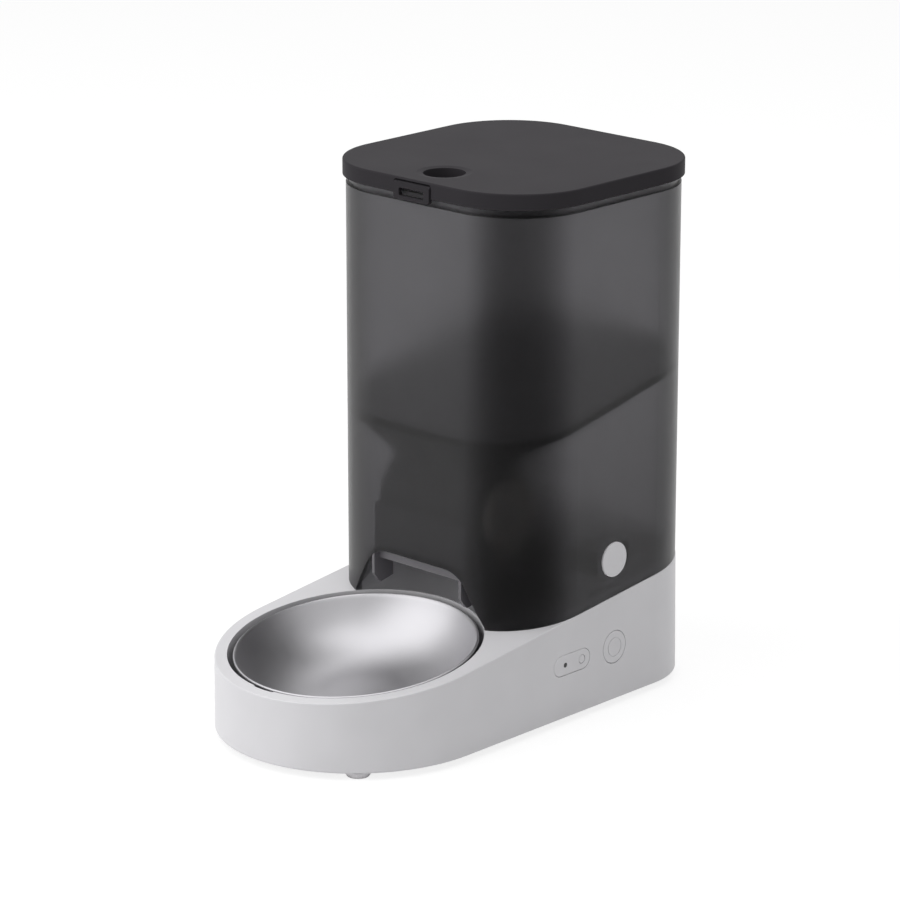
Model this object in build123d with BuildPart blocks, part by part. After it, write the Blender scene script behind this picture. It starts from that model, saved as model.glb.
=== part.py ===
import os
from math import acos, cos, pi, radians, sin, tan

from build123d import *

os.makedirs("parts", exist_ok=True)

# Axes: +Z up, the bowl is at -Y, the buttons are on the +X side.
# The origin is on the floor, under the middle of the whole feeder. All sizes are in millimetres.

# Overall sizes
LID_HALF = 85.0
FRONT_Y = -150.0
LID_TOP_Z = 318.0
FOOT_H = 4.0

# Base casting: straight sides, a half ellipse round the bowl, rounded rear corners
BASE_HALF = 84.0
BASE_REACH = 87.3
BASE_REAR_Y = 148.9
BASE_WALL = 2.6
BASE_DRAFT = 0.7
BASE_BLOCK_H = 90.0
PLATE_H = 2.4
PLATE_TOP_Z = FOOT_H + PLATE_H
ELLIPSE_Y = FRONT_Y + BASE_REACH

# Sloping deck of the base, lowest at the bowl
BOWL_Y = -68.1
DECK_Z = 53.1
DECK_ANGLE = 6.56
DECK = Plane(
    origin=(0, BOWL_Y, DECK_Z),
    x_dir=(1, 0, 0),
    z_dir=(0, -sin(radians(DECK_ANGLE)), cos(radians(DECK_ANGLE))),
)


def deck_z(y):
    """Height of the deck above the floor at a place along the feeder."""
    return DECK_Z + tan(radians(DECK_ANGLE)) * (y - BOWL_Y)


# Bowl and its well, measured square to the deck
BOWL_R = 71.3
BOWL_SHEET = 1.0
BOWL_LIP_W = 1.3
BOWL_LIP = 2.6
BOWL_FLAT_R = 24.0
BOWL_DROP = 0.8
WELL_R = 74.4
WELL_DEPTH = 33.0
WELL_WALL = 2.4
NOTCH_HALF_W = 8.0
NOTCH_REACH = 1.0
NOTCH_DEPTH = 4.0

# Hopper: a straight rounded square standing on the deck
HOPPER_Y = 65.0
HOPPER_HALF = 83.1
HOPPER_WALL = 3.2
CORNER_R = 48.0
HOPPER_IN = HOPPER_HALF - HOPPER_WALL
SHOULDER_Z = 303.8
NECK_HALF = 81.3
RIM_Z = 314.2
SEAT_GAP = 0.5
SEAT_W = 2.0
SEAT_H = 4.0
HOPPER_FACE_Y = HOPPER_Y - HOPPER_HALF
HOPPER_CUT_Z = 45.0

# Arched recess over the bowl
ARCH_FOOT_HALF = 53.0
ARCH_TOP_HALF = 34.0
ARCH_TOP_Z = 90.6
ARCH_R = 19.0
RECESS_R = WELL_R
RECESS_WALL = 2.2

# Metering drum, its axis along X
DRUM_Y = 17.5
DRUM_Z = 120.0
DRUM_R = 22.5
DRUM_WALL = 2.0
DRUM_HALF = 35.0
DRUM_END = 3.0
COLLAR_HALF_Y = 17.0
COLLAR_TOP_Z = 146.0
BLADES = 6
BLADE_T = 2.0
BLADE_TIP_R = 21.8
HUB_R = 8.0
SLOT_R = 5.5
SHAFT_R = 3.0
BUSH_R = 4.6
BUSH_GAP = 0.05

# Funnel: its rim slopes up to the rear
FUNNEL_FRONT_Z = 166.0
FUNNEL_ANGLE = 11.7
FUNNEL_WALL = 2.0
FUNNEL_BAND = 4.0

# Gears
MODULE = 1.25
PRESSURE_ANGLE = radians(20)
ROTOR_TEETH = 32
DRIVE_TEETH = 20
PINION_TEETH = 12
GEAR_X = 39.0
GEAR_W = 5.6
BACKLASH = 0.16
DRIVE_Z = DRUM_Z - MODULE * (ROTOR_TEETH + DRIVE_TEETH) / 2
MOTOR_Y = DRUM_Y + MODULE * (DRIVE_TEETH + PINION_TEETH) / 2
MOTOR_R = 10.5
MOTOR_X = (-22.0, 34.0)

# Release buttons on both sides of the hopper
RELEASE_Y = 62.0
RELEASE_Z = 91.0
RELEASE_R = 10.5
HOOK_X = 71.0

# Control panel and feed button on the +X side of the base
PANEL_Y = 25.7
PANEL_Z = 36.7
PANEL_L = 31.7
PANEL_H = 12.8
LIGHT_Y = 19.9
SETUP_Y = 34.3
SETUP_R = 2.75
FEED_Y = 63.0
FEED_R = 10.15
SIDE_X = 83.7
WALL_IN_X = 80.4
SWITCH_X = 72.6

# Lid
SKIRT_Z = 308.6
PLUG_Z = 303.0
SEAL_Z = 305.0
SEAL_H = 3.4
SKIRT_T = 2.8
LID_T = 2.8
LID_R = 49.9
LATCH_HALF = 13.9
LATCH_Z = (305.4, 314.0)
LATCH_Y = -19.0
LATCH_SLOT_Z = 309.9
LATCH_ROOM = 0.6
CUTOUT_TOP_Z = LATCH_Z[1] + 2.7
FINGER_SPOT = (0, 6.5)
FINGER_R = 12.4
FINGER_DEPTH = 9.0
FINGER_TAPER = 5
FINGER_DISH_R = 16.2
FINGER_DISH_DEPTH = 1.2
DRY_Y = 88.0
DRY_R = 35.6

# Screw bosses and feet, as places on the floor plan
BOSS_SPOTS = [(sx * x, y) for x, y in ((56, -106), (72, -2), (64, 118)) for sx in (-1, 1)]
FOOT_SPOTS = [(sx * x, y) for x, y in ((52, -119), (58, 128)) for sx in (-1, 1)]
BOSS_R = 4.0


def base_plan(inset):
    """Outline of the base, drawn into the sketch that is open."""
    with Locations((0, ELLIPSE_Y)):
        Ellipse(BASE_HALF - inset, BASE_REACH - inset)
    rear = BASE_REAR_Y - inset
    with Locations((0, (ELLIPSE_Y + rear) / 2)):
        box = Rectangle(2 * (BASE_HALF - inset), rear - ELLIPSE_Y)
    rear_corners = box.vertices().group_by(Axis.Y)[-1]
    fillet(rear_corners, CORNER_R - inset)


def body_plan(half, radius, mode=Mode.ADD):
    """Rounded square round the hopper's axis, drawn into the sketch that is open."""
    with Locations((0, HOPPER_Y)):
        RectangleRounded(2 * half, 2 * half, radius, mode=mode)


# Space inside the base, with the bowl's cup and the screw bosses left standing
with BuildPart() as base_space:
    with BuildSketch(Plane.XY.offset(FOOT_H)):
        base_plan(BASE_WALL)
    extrude(amount=BASE_BLOCK_H, taper=BASE_DRAFT)
    split(bisect_by=DECK.offset(-BASE_WALL), keep=Keep.BOTTOM)
    with BuildSketch(DECK):
        Circle(WELL_R + WELL_WALL)
        with Locations((0, -WELL_R)):
            Ellipse(NOTCH_HALF_W + WELL_WALL, NOTCH_REACH + WELL_WALL)
    extrude(amount=-WELL_DEPTH - WELL_WALL, mode=Mode.SUBTRACT)
    with BuildSketch(Plane.XY.offset(PLATE_TOP_Z)):
        with Locations(*BOSS_SPOTS):
            Circle(BOSS_R)
    extrude(amount=BASE_BLOCK_H, mode=Mode.SUBTRACT)

# Ring on the deck that locates the foot of the hopper
with BuildPart() as seat_ring:
    with BuildSketch(Plane.XY.offset(FOOT_H)):
        body_plan(HOPPER_IN - SEAT_GAP, CORNER_R - HOPPER_WALL - SEAT_GAP)
        body_plan(HOPPER_IN - SEAT_GAP - SEAT_W, CORNER_R - HOPPER_WALL - SEAT_GAP - SEAT_W, Mode.SUBTRACT)
        with Locations((0, BOWL_Y)):
            Circle(RECESS_R + 2 * RECESS_WALL, mode=Mode.SUBTRACT)
    extrude(amount=BASE_BLOCK_H)
    split(bisect_by=DECK.offset(SEAT_H), keep=Keep.BOTTOM)
    split(bisect_by=DECK.offset(-BASE_WALL), keep=Keep.TOP)

CATCH_X = 75.4
CATCH_T = 3.4
CATCH_TOP_Z = 78.2
HOOK_Z = 73.2

with BuildPart() as base_shell:
    with BuildSketch(Plane.XY.offset(FOOT_H)):
        base_plan(0)
    extrude(amount=BASE_BLOCK_H, taper=BASE_DRAFT)
    split(bisect_by=DECK, keep=Keep.BOTTOM)
    fillet(base_shell.edges().group_by(Axis.Z)[0], 1.2)
    deck_face = base_shell.faces().sort_by(Axis(DECK.origin, DECK.z_dir))[-1]
    fillet(deck_face.edges(), 0.8)
    add(base_space.part, mode=Mode.SUBTRACT)
    with BuildSketch(DECK):
        Circle(WELL_R)
        with Locations((0, -WELL_R)):
            Ellipse(NOTCH_HALF_W, NOTCH_REACH)
    extrude(amount=-NOTCH_DEPTH, mode=Mode.SUBTRACT)
    with BuildSketch(DECK):
        Circle(WELL_R)
    extrude(amount=-WELL_DEPTH, mode=Mode.SUBTRACT)
    add(seat_ring.part)
    # Catches for the two release hooks, each with a window under its ledge
    for side in (-1, 1):
        with BuildSketch(Plane.YZ.offset(side * CATCH_X)):
            with Locations((RELEASE_Y, (deck_z(RELEASE_Y) - 1 + CATCH_TOP_Z) / 2)):
                Rectangle(14, CATCH_TOP_Z - deck_z(RELEASE_Y) + 1)
            with Locations((RELEASE_Y, HOOK_Z)):
                Rectangle(10.6, 4.4, mode=Mode.SUBTRACT)
        extrude(amount=side * CATCH_T)
    # Two saddles for the motor
    for x in (-16, 22):
        with BuildSketch(Plane.YZ.offset(x)):
            with Locations((MOTOR_Y, (deck_z(MOTOR_Y) + 76) / 2)):
                Rectangle(2 * MOTOR_R - 3, 76 - deck_z(MOTOR_Y) + 2.4)
            with Locations((MOTOR_Y, DRIVE_Z)):
                Circle(MOTOR_R, mode=Mode.SUBTRACT)
        extrude(amount=4)
    # Posts that carry the button board
    with BuildSketch(Plane.YZ.offset(SWITCH_X)):
        with Locations((12, 25), (12, 49), (74, 25), (74, 49)):
            Circle(2.6)
    extrude(amount=WALL_IN_X - SWITCH_X + 1)
    # Flat pads inside the side wall, behind the panel and the feed button
    with BuildSketch(Plane.YZ.offset(WALL_IN_X)):
        with Locations((PANEL_Y, PANEL_Z)):
            SlotOverall(PANEL_L + 7, PANEL_H + 6)
        with Locations((FEED_Y, PANEL_Z)):
            Circle(FEED_R + 3)
    extrude(amount=2)
    # Holes in the side wall for the panel and the feed button, and in the rear wall for the inlet
    with BuildSketch(Plane.YZ.offset(WALL_IN_X - 3)):
        with Locations((PANEL_Y, PANEL_Z)):
            SlotOverall(PANEL_L, PANEL_H)
        with Locations((FEED_Y, PANEL_Z)):
            Circle(FEED_R)
    extrude(amount=8, mode=Mode.SUBTRACT)
    with BuildSketch(Plane.XZ.offset(-BASE_REAR_Y + 5)):
        with Locations((0, 18)):
            RectangleRounded(13, 7.4, 2)
    extrude(amount=-8, mode=Mode.SUBTRACT)
    # Screw holes up the bosses
    with Locations(*[(x, y, PLATE_TOP_Z) for x, y in BOSS_SPOTS]):
        Cylinder(1.3, 5.6, align=(Align.CENTER, Align.CENTER, Align.MIN), mode=Mode.SUBTRACT)
base_shell.part.label = "base_shell"
export_step(base_shell.part, "parts/base_shell.step")

BAY_HALF = 33.0
BAY_Y = (68.0, 130.0)
BAY_MID_Y = sum(BAY_Y) / 2
BAY_L = BAY_Y[1] - BAY_Y[0]
BAY_TOP_Z = 24.0
DOOR_GAP = 0.4
DOOR_T = 1.8

with BuildPart() as base_plate:
    with BuildSketch(Plane.XY.offset(FOOT_H)):
        base_plan(BASE_WALL + 0.3)
        with Locations((0, BAY_MID_Y)):
            Rectangle(2 * BAY_HALF, BAY_L, mode=Mode.SUBTRACT)
        with Locations(*BOSS_SPOTS):
            Circle(1.7, mode=Mode.SUBTRACT)
        with Locations(*FOOT_SPOTS):
            Circle(3.0, mode=Mode.SUBTRACT)
    extrude(amount=PLATE_H)
    # Counterbores for the screw heads
    with Locations(*[(x, y, FOOT_H) for x, y in BOSS_SPOTS]):
        Cylinder(3.2, 1.2, align=(Align.CENTER, Align.CENTER, Align.MIN), mode=Mode.SUBTRACT)
    # Stiffening ribs round the battery bay
    with BuildSketch(Plane.XY.offset(PLATE_TOP_Z)):
        with GridLocations(120, 0, 2, 1):
            with Locations((0, 40)):
                Rectangle(2, 90)
        with Locations((0, -10)):
            Rectangle(100, 2)
    extrude(amount=4)
base_plate.part.label = "base_plate"
export_step(base_plate.part, "parts/base_plate.step")

with BuildPart() as rubber_feet:
    with BuildSketch(Plane.XY):
        with Locations(*FOOT_SPOTS):
            Circle(6.5)
    extrude(amount=FOOT_H, taper=-32)
    with Locations(*[(x, y, FOOT_H) for x, y in FOOT_SPOTS]):
        Cylinder(3.0, PLATE_H, align=(Align.CENTER, Align.CENTER, Align.MIN))
rubber_feet.part.label = "rubber_feet"
export_step(rubber_feet.part, "parts/rubber_feet.step")

with BuildPart() as base_screws:
    with Locations(*[(x, y, FOOT_H + 0.1) for x, y in BOSS_SPOTS]):
        Cylinder(2.8, 1.1, align=(Align.CENTER, Align.CENTER, Align.MIN))
        Cylinder(1.3, 7.6, align=(Align.CENTER, Align.CENTER, Align.MIN))
base_screws.part.label = "base_screws"
export_step(base_screws.part, "parts/base_screws.step")

# Battery bay for four AA cells, open downwards behind its door
TRAY_WALL = 1.8
with BuildPart() as battery_tray:
    with BuildSketch(Plane.XY.offset(PLATE_TOP_Z)):
        with Locations((0, BAY_MID_Y)):
            Rectangle(2 * (BAY_HALF + TRAY_WALL), BAY_L + 2 * TRAY_WALL)
    extrude(amount=BAY_TOP_Z - PLATE_TOP_Z)
    with BuildSketch(Plane.XY.offset(PLATE_TOP_Z)):
        with Locations((0, BAY_MID_Y)):
            Rectangle(2 * BAY_HALF, BAY_L)
    extrude(amount=BAY_TOP_Z - TRAY_WALL - PLATE_TOP_Z, mode=Mode.SUBTRACT)
    # Saddle ribs between the cells
    with BuildSketch(Plane.XY.offset(BAY_TOP_Z - TRAY_WALL - 4)):
        with Locations((0, BAY_MID_Y)):
            with GridLocations(15.2, 0, 3, 1):
                Rectangle(1.2, BAY_L - 14)
    extrude(amount=4)
    # Posts for the main board
    with BuildSketch(Plane.XY.offset(BAY_TOP_Z)):
        with Locations((0, BAY_MID_Y)):
            with GridLocations(56, 50, 2, 2):
                Circle(2.8)
    extrude(amount=8)
battery_tray.part.label = "battery_tray"
export_step(battery_tray.part, "parts/battery_tray.step")

# Eight contacts: a flat plate and a folded leaf at the two ends of each cell
with BuildPart() as battery_contacts:
    for column in range(4):
        x = (column - 1.5) * 15.2
        spring_end = BAY_Y[0] if column % 2 else BAY_Y[1]
        inward = 1 if column % 2 else -1
        with BuildSketch(Plane.YZ.offset(x - 4)):
            with BuildLine():
                leaf_low = (spring_end, 8.5)
                leaf_high = (spring_end, 21)
                leaf_nose = (spring_end + inward * 5, 14.5)
                Polyline(leaf_low, leaf_high, leaf_nose, leaf_low, close=True)
            make_face()
            with BuildLine():
                Polyline(
                    (spring_end + inward * 0.5, 10.5),
                    (spring_end + inward * 0.5, 19),
                    (spring_end + inward * 4.0, 14.6),
                    close=True,
                )
            make_face(mode=Mode.SUBTRACT)
        extrude(amount=8)
        flat_end = BAY_Y[1] if column % 2 else BAY_Y[0]
        with Locations((x, flat_end - inward * 0.25, 14.5)):
            Box(8, 0.5, 12)
battery_contacts.part.label = "battery_contacts"
export_step(battery_contacts.part, "parts/battery_contacts.step")

with BuildPart() as battery_door:
    with BuildSketch(Plane.XY.offset(FOOT_H)):
        with Locations((0, BAY_MID_Y)):
            Rectangle(2 * (BAY_HALF - DOOR_GAP), BAY_L - 2 * DOOR_GAP)
        # Thumb notch at the rear edge
        with Locations((0, BAY_Y[1] - DOOR_GAP)):
            Rectangle(16, 6, mode=Mode.SUBTRACT)
    extrude(amount=DOOR_T)
    # The hinge edge is rounded so that it turns in its gap
    hinge_edges = battery_door.edges().filter_by(Axis.X).group_by(Axis.Y)[0]
    fillet(hinge_edges, DOOR_T / 2 - 0.01)
    # Foam rails that hold the cells
    with BuildSketch(Plane.XY.offset(FOOT_H + DOOR_T)):
        with Locations((0, BAY_MID_Y)):
            with GridLocations(30.4, 0, 2, 1):
                Rectangle(3, 40)
    extrude(amount=1.2)
battery_door.part.label = "battery_door"
export_step(battery_door.part, "parts/battery_door.step")

BOARD_Z = BAY_TOP_Z + 8
with BuildPart() as main_board:
    with BuildSketch(Plane.XY.offset(BOARD_Z)):
        with Locations((0, BAY_MID_Y)):
            RectangleRounded(70, 58, 3)
            with GridLocations(56, 50, 2, 2):
                Circle(1.5, mode=Mode.SUBTRACT)
    extrude(amount=1.6)
main_board.part.label = "main_board"
export_step(main_board.part, "parts/main_board.step")

with BuildPart() as board_parts:
    on_board = BOARD_Z + 1.6
    low = (Align.CENTER, Align.CENTER, Align.MIN)
    with Locations((-16, BAY_MID_Y - 8, on_board)):
        Box(18, 25, 3.2, align=low)
    with Locations((14, BAY_MID_Y + 4, on_board)):
        Box(10, 10, 1.4, align=low)
    with Locations((16, BAY_MID_Y - 16, on_board), (27, BAY_MID_Y - 16, on_board)):
        Cylinder(4, 9, align=low)
    with Locations((-12, BAY_MID_Y + 22, on_board), (6, BAY_MID_Y + 22, on_board)):
        Box(12, 6, 6, align=low)
board_parts.part.label = "board_parts"
export_step(board_parts.part, "parts/board_parts.step")

with BuildPart() as power_inlet:
    with BuildSketch(Plane.XZ.offset(-BASE_REAR_Y + 9)):
        with Locations((0, 18)):
            RectangleRounded(13, 7.4, 2)
    extrude(amount=-8.4)
    with BuildSketch(Plane.XZ.offset(-BASE_REAR_Y + 10)):
        with Locations((0, 18)):
            RectangleRounded(18, 11, 1.5)
    extrude(amount=-7)
    with BuildSketch(Plane.XZ.offset(-BASE_REAR_Y + 0.3)):
        with Locations((0, 18)):
            Rectangle(9.2, 3.4)
            Rectangle(6.6, 0.8, mode=Mode.SUBTRACT)
    extrude(amount=6.5, mode=Mode.SUBTRACT)
power_inlet.part.label = "power_inlet"
export_step(power_inlet.part, "parts/power_inlet.step")

with BuildPart() as control_panel:
    with BuildSketch(Plane.YZ.offset(WALL_IN_X - 2)):
        with Locations((PANEL_Y, PANEL_Z)):
            SlotOverall(PANEL_L + 5, PANEL_H + 4)
    extrude(amount=2)
    with BuildSketch(Plane.YZ.offset(WALL_IN_X)):
        with Locations((PANEL_Y, PANEL_Z)):
            SlotOverall(PANEL_L - 0.5, PANEL_H - 0.5)
    extrude(amount=SIDE_X - WALL_IN_X)
    chamfer(control_panel.faces().sort_by(Axis.X)[-1].edges(), 0.3)
    with BuildSketch(Plane.YZ.offset(WALL_IN_X - 3)):
        with Locations((LIGHT_Y, PANEL_Z)):
            Circle(1.5)
        with Locations((SETUP_Y, PANEL_Z)):
            Circle(SETUP_R)
    extrude(amount=8, mode=Mode.SUBTRACT)
control_panel.part.label = "control_panel"
export_step(control_panel.part, "parts/control_panel.step")

with BuildPart() as status_light:
    with BuildSketch(Plane.YZ.offset(SWITCH_X + 2.4)):
        with Locations((LIGHT_Y, PANEL_Z)):
            Circle(1.5)
    extrude(amount=SIDE_X - SWITCH_X - 2.5)
status_light.part.label = "status_light"
export_step(status_light.part, "parts/status_light.step")

with BuildPart() as setup_button:
    with BuildSketch(Plane.YZ.offset(WALL_IN_X - 3.4)):
        with Locations((SETUP_Y, PANEL_Z)):
            Circle(3.8)
    extrude(amount=1.1)
    with BuildSketch(Plane.YZ.offset(WALL_IN_X - 2.3)):
        with Locations((SETUP_Y, PANEL_Z)):
            Circle(SETUP_R - 0.3)
    extrude(amount=SIDE_X - WALL_IN_X + 2.3)
    fillet(setup_button.faces().sort_by(Axis.X)[-1].edges(), 0.3)
setup_button.part.label = "setup_button"
export_step(setup_button.part, "parts/setup_button.step")

FEED_GROOVE = (5.45, 5.95)
FEED_GROOVE_DEPTH = 0.35
FEED_TOP_X = SIDE_X + 0.1
DISH_R = 5.2
DISH_DEPTH = 0.4
DISH_BALL_R = (DISH_R**2 + DISH_DEPTH**2) / (2 * DISH_DEPTH)
with BuildPart() as feed_button:
    with BuildSketch(Plane.YZ.offset(WALL_IN_X - 2.1)):
        with Locations((FEED_Y, PANEL_Z)):
            Circle(FEED_R + 1.8)
    extrude(amount=1.8)
    with BuildSketch(Plane.YZ.offset(WALL_IN_X - 0.3)):
        with Locations((FEED_Y, PANEL_Z)):
            Circle(FEED_R - 0.35)
    extrude(amount=FEED_TOP_X - WALL_IN_X + 0.3)
    fillet(feed_button.faces().sort_by(Axis.X)[-1].edges(), 0.5)
    # Ring pressed into the button's face, with a shallow dish inside it
    with BuildSketch(Plane.YZ.offset(FEED_TOP_X - FEED_GROOVE_DEPTH)):
        with Locations((FEED_Y, PANEL_Z)):
            Circle(FEED_GROOVE[1])
            Circle(FEED_GROOVE[0], mode=Mode.SUBTRACT)
    extrude(amount=1, mode=Mode.SUBTRACT)
    with Locations((FEED_TOP_X + DISH_BALL_R - DISH_DEPTH, FEED_Y, PANEL_Z)):
        Sphere(DISH_BALL_R, mode=Mode.SUBTRACT)
    with BuildSketch(Plane.YZ.offset(WALL_IN_X - 2.5)):
        with Locations((FEED_Y, PANEL_Z)):
            Circle(2)
    extrude(amount=0.5)
feed_button.part.label = "feed_button"
export_step(feed_button.part, "parts/feed_button.step")

with BuildPart() as button_board:
    with BuildSketch(Plane.YZ.offset(SWITCH_X - 1.6)):
        with Locations((44, 37)):
            RectangleRounded(68, 30, 2)
    extrude(amount=1.6)
button_board.part.label = "button_board"
export_step(button_board.part, "parts/button_board.step")

with BuildPart() as button_switches:
    for y in (SETUP_Y, FEED_Y):
        with BuildSketch(Plane.YZ.offset(SWITCH_X)):
            with Locations((y, PANEL_Z)):
                Rectangle(6, 6)
        extrude(amount=3.2)
        with BuildSketch(Plane.YZ.offset(SWITCH_X + 3.2)):
            with Locations((y, PANEL_Z)):
                Circle(1.7)
        extrude(amount=0.5)
    with BuildSketch(Plane.YZ.offset(SWITCH_X)):
        with Locations((LIGHT_Y, PANEL_Z)):
            Rectangle(3.4, 2.8)
    extrude(amount=2.4)
button_switches.part.label = "button_switches"
export_step(button_switches.part, "parts/button_switches.step")

# Bowl: a spun sheet dish with a flat foot, a round side and a turned-out lip
SIDE_TOP_R = BOWL_R - BOWL_LIP_W
SIDE_H = WELL_DEPTH - BOWL_DROP - BOWL_LIP
SIDE_R = ((SIDE_TOP_R - BOWL_FLAT_R) ** 2 + SIDE_H**2) / (2 * SIDE_H)
SIDE_TURN = acos((SIDE_R - SIDE_H) / SIDE_R)
BOWL_SECTION = Plane(origin=DECK.origin, x_dir=(1, 0, 0), z_dir=DECK.y_dir * -1)


def bowl_side(gap):
    """Middle and end of the round side, a given distance inside the sheet's outer face."""
    radius = SIDE_R - gap
    centre_h = -WELL_DEPTH + SIDE_R
    return [
        (BOWL_FLAT_R + radius * sin(turn), centre_h - radius * cos(turn))
        for turn in (0, SIDE_TURN / 2, SIDE_TURN)
    ]


with BuildPart() as bowl:
    with BuildSketch(BOWL_SECTION):
        with BuildLine():
            out_foot, out_mid, out_top = bowl_side(0)
            in_foot, in_mid, in_top = bowl_side(BOWL_SHEET)
            Line((0, -WELL_DEPTH), out_foot)
            ThreePointArc(out_foot, out_mid, out_top)
            Line(out_top, (BOWL_R - 0.6, -BOWL_DROP - 2.2))
            ThreePointArc(
                (BOWL_R - 0.6, -BOWL_DROP - 2.2), (BOWL_R, -BOWL_DROP - 1.1), (BOWL_R - 0.8, -BOWL_DROP)
            )
            Line((BOWL_R - 0.8, -BOWL_DROP), (SIDE_TOP_R, -BOWL_DROP - 0.4))
            Line((SIDE_TOP_R, -BOWL_DROP - 0.4), in_top)
            ThreePointArc(in_top, in_mid, in_foot)
            Line(in_foot, (0, -WELL_DEPTH + BOWL_SHEET))
            Line((0, -WELL_DEPTH + BOWL_SHEET), (0, -WELL_DEPTH))
        make_face()
    revolve(axis=Axis(DECK.origin, DECK.z_dir))
bowl.part.label = "bowl"
export_step(bowl.part, "parts/bowl.step")


def spur_gear(teeth, x, y, z, bore, turn):
    """Spur gear with involute flanks, its axis along X, one tooth at an angle from +Y."""
    pitch_r = MODULE * teeth / 2
    base_r = pitch_r * cos(PRESSURE_ANGLE)
    root_r = pitch_r - 1.25 * MODULE
    tip_r = pitch_r + MODULE
    involute_at_pitch = tan(PRESSURE_ANGLE) - PRESSURE_ANGLE
    half_pitch_angle = (pi * MODULE / 2 - BACKLASH) / (2 * pitch_r)

    def half_angle(radius):
        """Half the tooth's angle at a radius, constant below the base circle."""
        pressure = acos(min(1, base_r / radius))
        return half_pitch_angle + involute_at_pitch - (tan(pressure) - pressure)

    radii = [root_r - 0.3, max(base_r, root_r), pitch_r, (pitch_r + tip_r) / 2, tip_r]
    right = [(r * cos(half_angle(r)), -r * sin(half_angle(r))) for r in radii]
    left = [(across, -up) for across, up in reversed(right)]
    with BuildPart() as gear:
        with BuildSketch(Plane.YZ.offset(x)):
            with Locations((y, z)):
                Circle(root_r)
                with PolarLocations(0, teeth, start_angle=turn):
                    Polygon(*right, *left, align=None)
                Circle(bore, mode=Mode.SUBTRACT)
        extrude(amount=GEAR_W)
        # Thinner web between the rim and the hub on the larger gears
        if teeth > PINION_TEETH:
            for web_x in (x - 1, x + GEAR_W - 1.4):
                with BuildSketch(Plane.YZ.offset(web_x)):
                    with Locations((y, z)):
                        Circle(root_r - 2)
                        Circle(bore + 2.4, mode=Mode.SUBTRACT)
                extrude(amount=2.4, mode=Mode.SUBTRACT)
    return gear.part


with BuildPart() as rotor_gear:
    add(spur_gear(ROTOR_TEETH, GEAR_X, DRUM_Y, DRUM_Z, SHAFT_R, 0))
rotor_gear.part.label = "rotor_gear"
export_step(rotor_gear.part, "parts/rotor_gear.step")

PIN_R = 2.0
with BuildPart() as drive_gear:
    add(spur_gear(DRIVE_TEETH, GEAR_X, DRUM_Y, DRIVE_Z, PIN_R + BUSH_GAP, 180 / DRIVE_TEETH))
drive_gear.part.label = "drive_gear"
export_step(drive_gear.part, "parts/drive_gear.step")

MOTOR_SHAFT_R = 2.0
with BuildPart() as motor_pinion:
    add(spur_gear(PINION_TEETH, GEAR_X, MOTOR_Y, DRIVE_Z, MOTOR_SHAFT_R, 0))
    with BuildSketch(Plane.YZ.offset(MOTOR_X[1] + 1.6)):
        with Locations((MOTOR_Y, DRIVE_Z)):
            Circle(MOTOR_SHAFT_R)
    extrude(amount=GEAR_X + GEAR_W - MOTOR_X[1] - 1.6)
motor_pinion.part.label = "motor_pinion"
export_step(motor_pinion.part, "parts/motor_pinion.step")

with BuildPart() as gear_motor:
    with BuildSketch(Plane.YZ.offset(MOTOR_X[0])):
        with Locations((MOTOR_Y, DRIVE_Z)):
            Circle(MOTOR_R - 1)
    extrude(amount=32)
    with BuildSketch(Plane.YZ.offset(MOTOR_X[0] + 4)):
        with Locations((MOTOR_Y, DRIVE_Z)):
            Circle(MOTOR_R)
    extrude(amount=4)
    with BuildSketch(Plane.YZ.offset(MOTOR_X[0] + 32)):
        with Locations((MOTOR_Y, DRIVE_Z)):
            Circle(MOTOR_R)
    extrude(amount=MOTOR_X[1] - MOTOR_X[0] - 32)
    with BuildSketch(Plane.YZ.offset(MOTOR_X[1])):
        with Locations((MOTOR_Y, DRIVE_Z)):
            Circle(3.5)
    extrude(amount=1.4)
    # Two terminals on the rear end
    with BuildSketch(Plane.YZ.offset(MOTOR_X[0])):
        with Locations((MOTOR_Y - 5, DRIVE_Z), (MOTOR_Y + 5, DRIVE_Z)):
            Rectangle(0.8, 2.6)
    extrude(amount=-4)
gear_motor.part.label = "gear_motor"
export_step(gear_motor.part, "parts/gear_motor.step")

# Cover over the motor and the drive gear, hollow below, its front following the bowl's recess
COVER_X = (-30.0, 48.0)
COVER_Y = (-8.0, 56.0)
COVER_WALL = 2.0
COVER_LOW_Z = 93.2
COVER_TOP_Z = 101.0
COVER_FOOT_Z = 50.0
EAR_Y = (24, 48)
EAR_TOP_Z = 69.0


def cover_block(wall):
    """Block under the cover's roof line, a wall's thickness inside the outer one."""
    with BuildPart() as block:
        with BuildSketch(Plane.YZ.offset(COVER_X[0] + wall)):
            with BuildLine():
                Polyline(
                    (COVER_Y[0] + wall, COVER_FOOT_Z),
                    (COVER_Y[0] + wall, COVER_LOW_Z - wall),
                    (24, COVER_LOW_Z - wall),
                    (34.5, COVER_TOP_Z - wall),
                    (COVER_Y[1] - wall, COVER_TOP_Z - wall),
                    (COVER_Y[1] - wall, COVER_FOOT_Z),
                    close=True,
                )
            make_face()
        extrude(amount=COVER_X[1] - COVER_X[0] - 2 * wall)
        with BuildSketch(Plane.XY.offset(COVER_FOOT_Z)):
            with Locations((0, BOWL_Y)):
                Circle(RECESS_R + RECESS_WALL + 1.3 + wall)
        extrude(amount=60, mode=Mode.SUBTRACT)
    return block.part


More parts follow.
